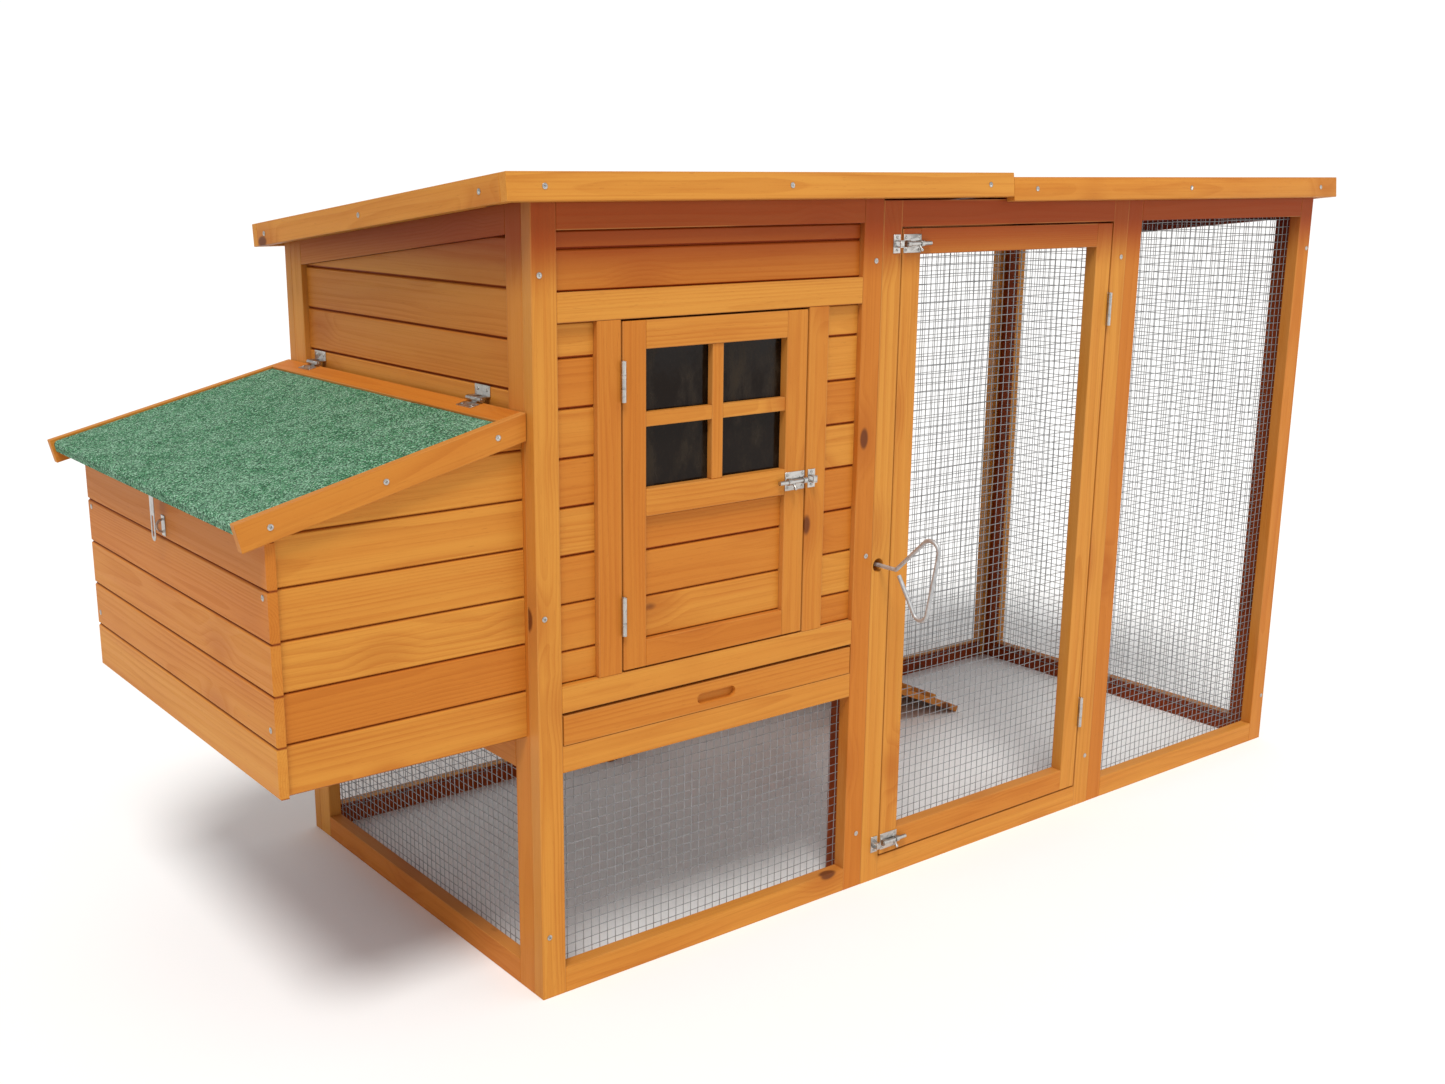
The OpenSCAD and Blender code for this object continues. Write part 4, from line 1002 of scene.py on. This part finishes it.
class COOP_OT_window(bpy.types.Operator):
    """Glazes the door with smoked sheet"""

    bl_idname = "coop.window"
    bl_label = "Window"

    def execute(self, context):
        low, high = (np.array(c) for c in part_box("window_pane"))
        wide, tall, margin = 40, 50, 0.4 * MM
        u, v = np.meshgrid(np.linspace(0, 1, wide), np.linspace(0, 1, tall), indexing="ij")
        bow = 0.25 * MM * np.sin(3 * np.pi * u) * np.sin(2 * np.pi * v)
        clouds = [np.stack([low[0] + (high[0] - low[0]) * u, face + bow, low[2] + (high[2] - low[2]) * v], -1)
                  for face in (low[1] + margin, high[1] - margin)]
        # the front and back grids are joined by a wall round the sheet's rim
        number = np.arange(wide * tall).reshape(wide, tall)
        rim = np.concatenate([number[:-1, 0], number[-1, :-1], number[:0:-1, -1], number[0, :0:-1]])
        corner = number[:-1, :-1].ravel()
        quads = np.stack([corner, corner + tall, corner + tall + 1, corner + 1], -1)
        size = wide * tall
        wall = np.stack([rim, np.roll(rim, -1), np.roll(rim, -1) + size, rim + size], -1)
        faces = np.concatenate([quads, quads[:, ::-1] + size, wall]).tolist()
        stands_for(solid("window_sheet", np.stack(clouds), faces, smoked_sheet(), 40), "window_pane")
        return {"FINISHED"}


def light(name, kind, colour, ray, place=(0, 0, 0), **settings):
    """A light at a place, whose beam runs along a ray."""
    lamp = bpy.data.lights.new(name, kind)
    lamp.color = colour
    for key, value in settings.items():
        setattr(lamp, key, value)
    made = linked(name, lamp)
    made.location = place
    made.rotation_euler = Vector(ray).to_track_quat("-Z", "Y").to_euler()


SUN_RAY = (0.36, 0.42, -1.0)
SUN_SPREAD = 20  # degrees across the sun's disc, for soft shadows
FILL_AT, FILL_AIM, FILL_SIZE = Vector((2.6, -3.6, 1.6)), Vector((0, 0, 0.5)), 2.8
FLOOR_REACH = 30.0


class COOP_OT_stage(bpy.types.Operator):
    """Sets the camera, the pale floor and the soft studio light"""

    bl_idname = "coop.stage"
    bl_label = "Stage"

    def execute(self, context):
        s = context.scene.coop_stage
        scene = context.scene
        lens = bpy.data.cameras.new("Camera")
        lens.sensor_width, lens.lens = 36.0, s.lens
        lens.shift_x, lens.shift_y = s.shift
        lens.clip_start, lens.clip_end = 0.05, 60.0
        camera = linked("Camera", lens)
        turn = (Matrix.Rotation(math.radians(s.heading), 3, "Z") @ Matrix.Rotation(math.radians(90 - s.dip), 3, "X")
                @ Matrix.Rotation(math.radians(s.roll), 3, "Z"))
        camera.rotation_euler = turn.to_euler()
        camera.location = s.eye
        scene.camera = camera

        white = Finish("pale_floor", Roughness=0.9, Specular_IOR_Level=0.1)
        where = white.node("ShaderNodeTexCoord", out="Object")
        cloud = white.noise(where, 0.6, 2.0)
        white.paint(Base_Color=white.mix(cloud, tuple(0.985 * c for c in s.floor), tuple(s.floor)))
        corners = [(x * FLOOR_REACH, y * FLOOR_REACH, 0) for x, y in ((-1, -1), (1, -1), (1, 1), (-1, 1))]
        mesh_object("floor", corners, [[0, 1, 2, 3]], white.material)

        world = bpy.data.worlds.new("studio")
        world.use_nodes = True
        tree = world.node_tree
        surround = tree.nodes["Background"]
        surround.inputs[1].default_value = s.sky
        backdrop = tree.nodes.new("ShaderNodeBackground")
        backdrop.inputs[1].default_value = s.backdrop
        surround.inputs[0].default_value = backdrop.inputs[0].default_value = (1.0, 1.0, 1.0, 1.0)
        which = tree.nodes.new("ShaderNodeMixShader")
        tree.links.new(tree.nodes.new("ShaderNodeLightPath").outputs["Is Camera Ray"], which.inputs[0])
        tree.links.new(surround.outputs[0], which.inputs[1])
        tree.links.new(backdrop.outputs[0], which.inputs[2])
        tree.links.new(which.outputs[0], tree.nodes["World Output"].inputs[0])
        scene.world = world
        light("key", "SUN", (1.0, 0.985, 0.955), SUN_RAY, energy=s.key, angle=math.radians(SUN_SPREAD))
        light("fill", "AREA", (0.98, 0.99, 1.0), FILL_AIM - FILL_AT, FILL_AT, energy=s.fill, shape="SQUARE",
              size=FILL_SIZE)
        scene.view_settings.view_transform = "Standard"
        scene.view_settings.look = "None"
        return {"FINISHED"}


class COOP_PT_panel(bpy.types.Panel):
    """The sidebar panel that lists every step"""

    bl_label = "Hen House"
    bl_idname = "COOP_PT_panel"
    bl_space_type = "VIEW_3D"
    bl_region_type = "UI"
    bl_category = "Hen House"

    def draw(self, context):
        for operator in OPERATORS:
            self.layout.operator(operator.bl_idname)


OPERATORS = (COOP_OT_stage, COOP_OT_timber, COOP_OT_mesh, COOP_OT_felt, COOP_OT_hardware, COOP_OT_screws,
             COOP_OT_pull_rod, COOP_OT_window)
SETTINGS = {"coop_timber": CoopTimberSettings, "coop_mesh": CoopMeshSettings, "coop_felt": CoopFeltSettings,
            "coop_metal": CoopMetalSettings, "coop_stage": CoopStageSettings}
CLASSES = (*SETTINGS.values(), *OPERATORS, COOP_PT_panel)


def register():
    """Registers the classes and puts each group of settings on the scene."""
    for cls in CLASSES:
        bpy.utils.register_class(cls)
    for name, cls in SETTINGS.items():
        setattr(bpy.types.Scene, name, PointerProperty(type=cls))


def unregister():
    """Undoes register."""
    for name in SETTINGS:
        delattr(bpy.types.Scene, name)
    for cls in reversed(CLASSES):
        bpy.utils.unregister_class(cls)


def main():
    """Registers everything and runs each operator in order."""
    register()
    for operator in OPERATORS:
        group, name = operator.bl_idname.split(".")
        getattr(getattr(bpy.ops, group), name)()


if __name__ == "__main__":
    main()
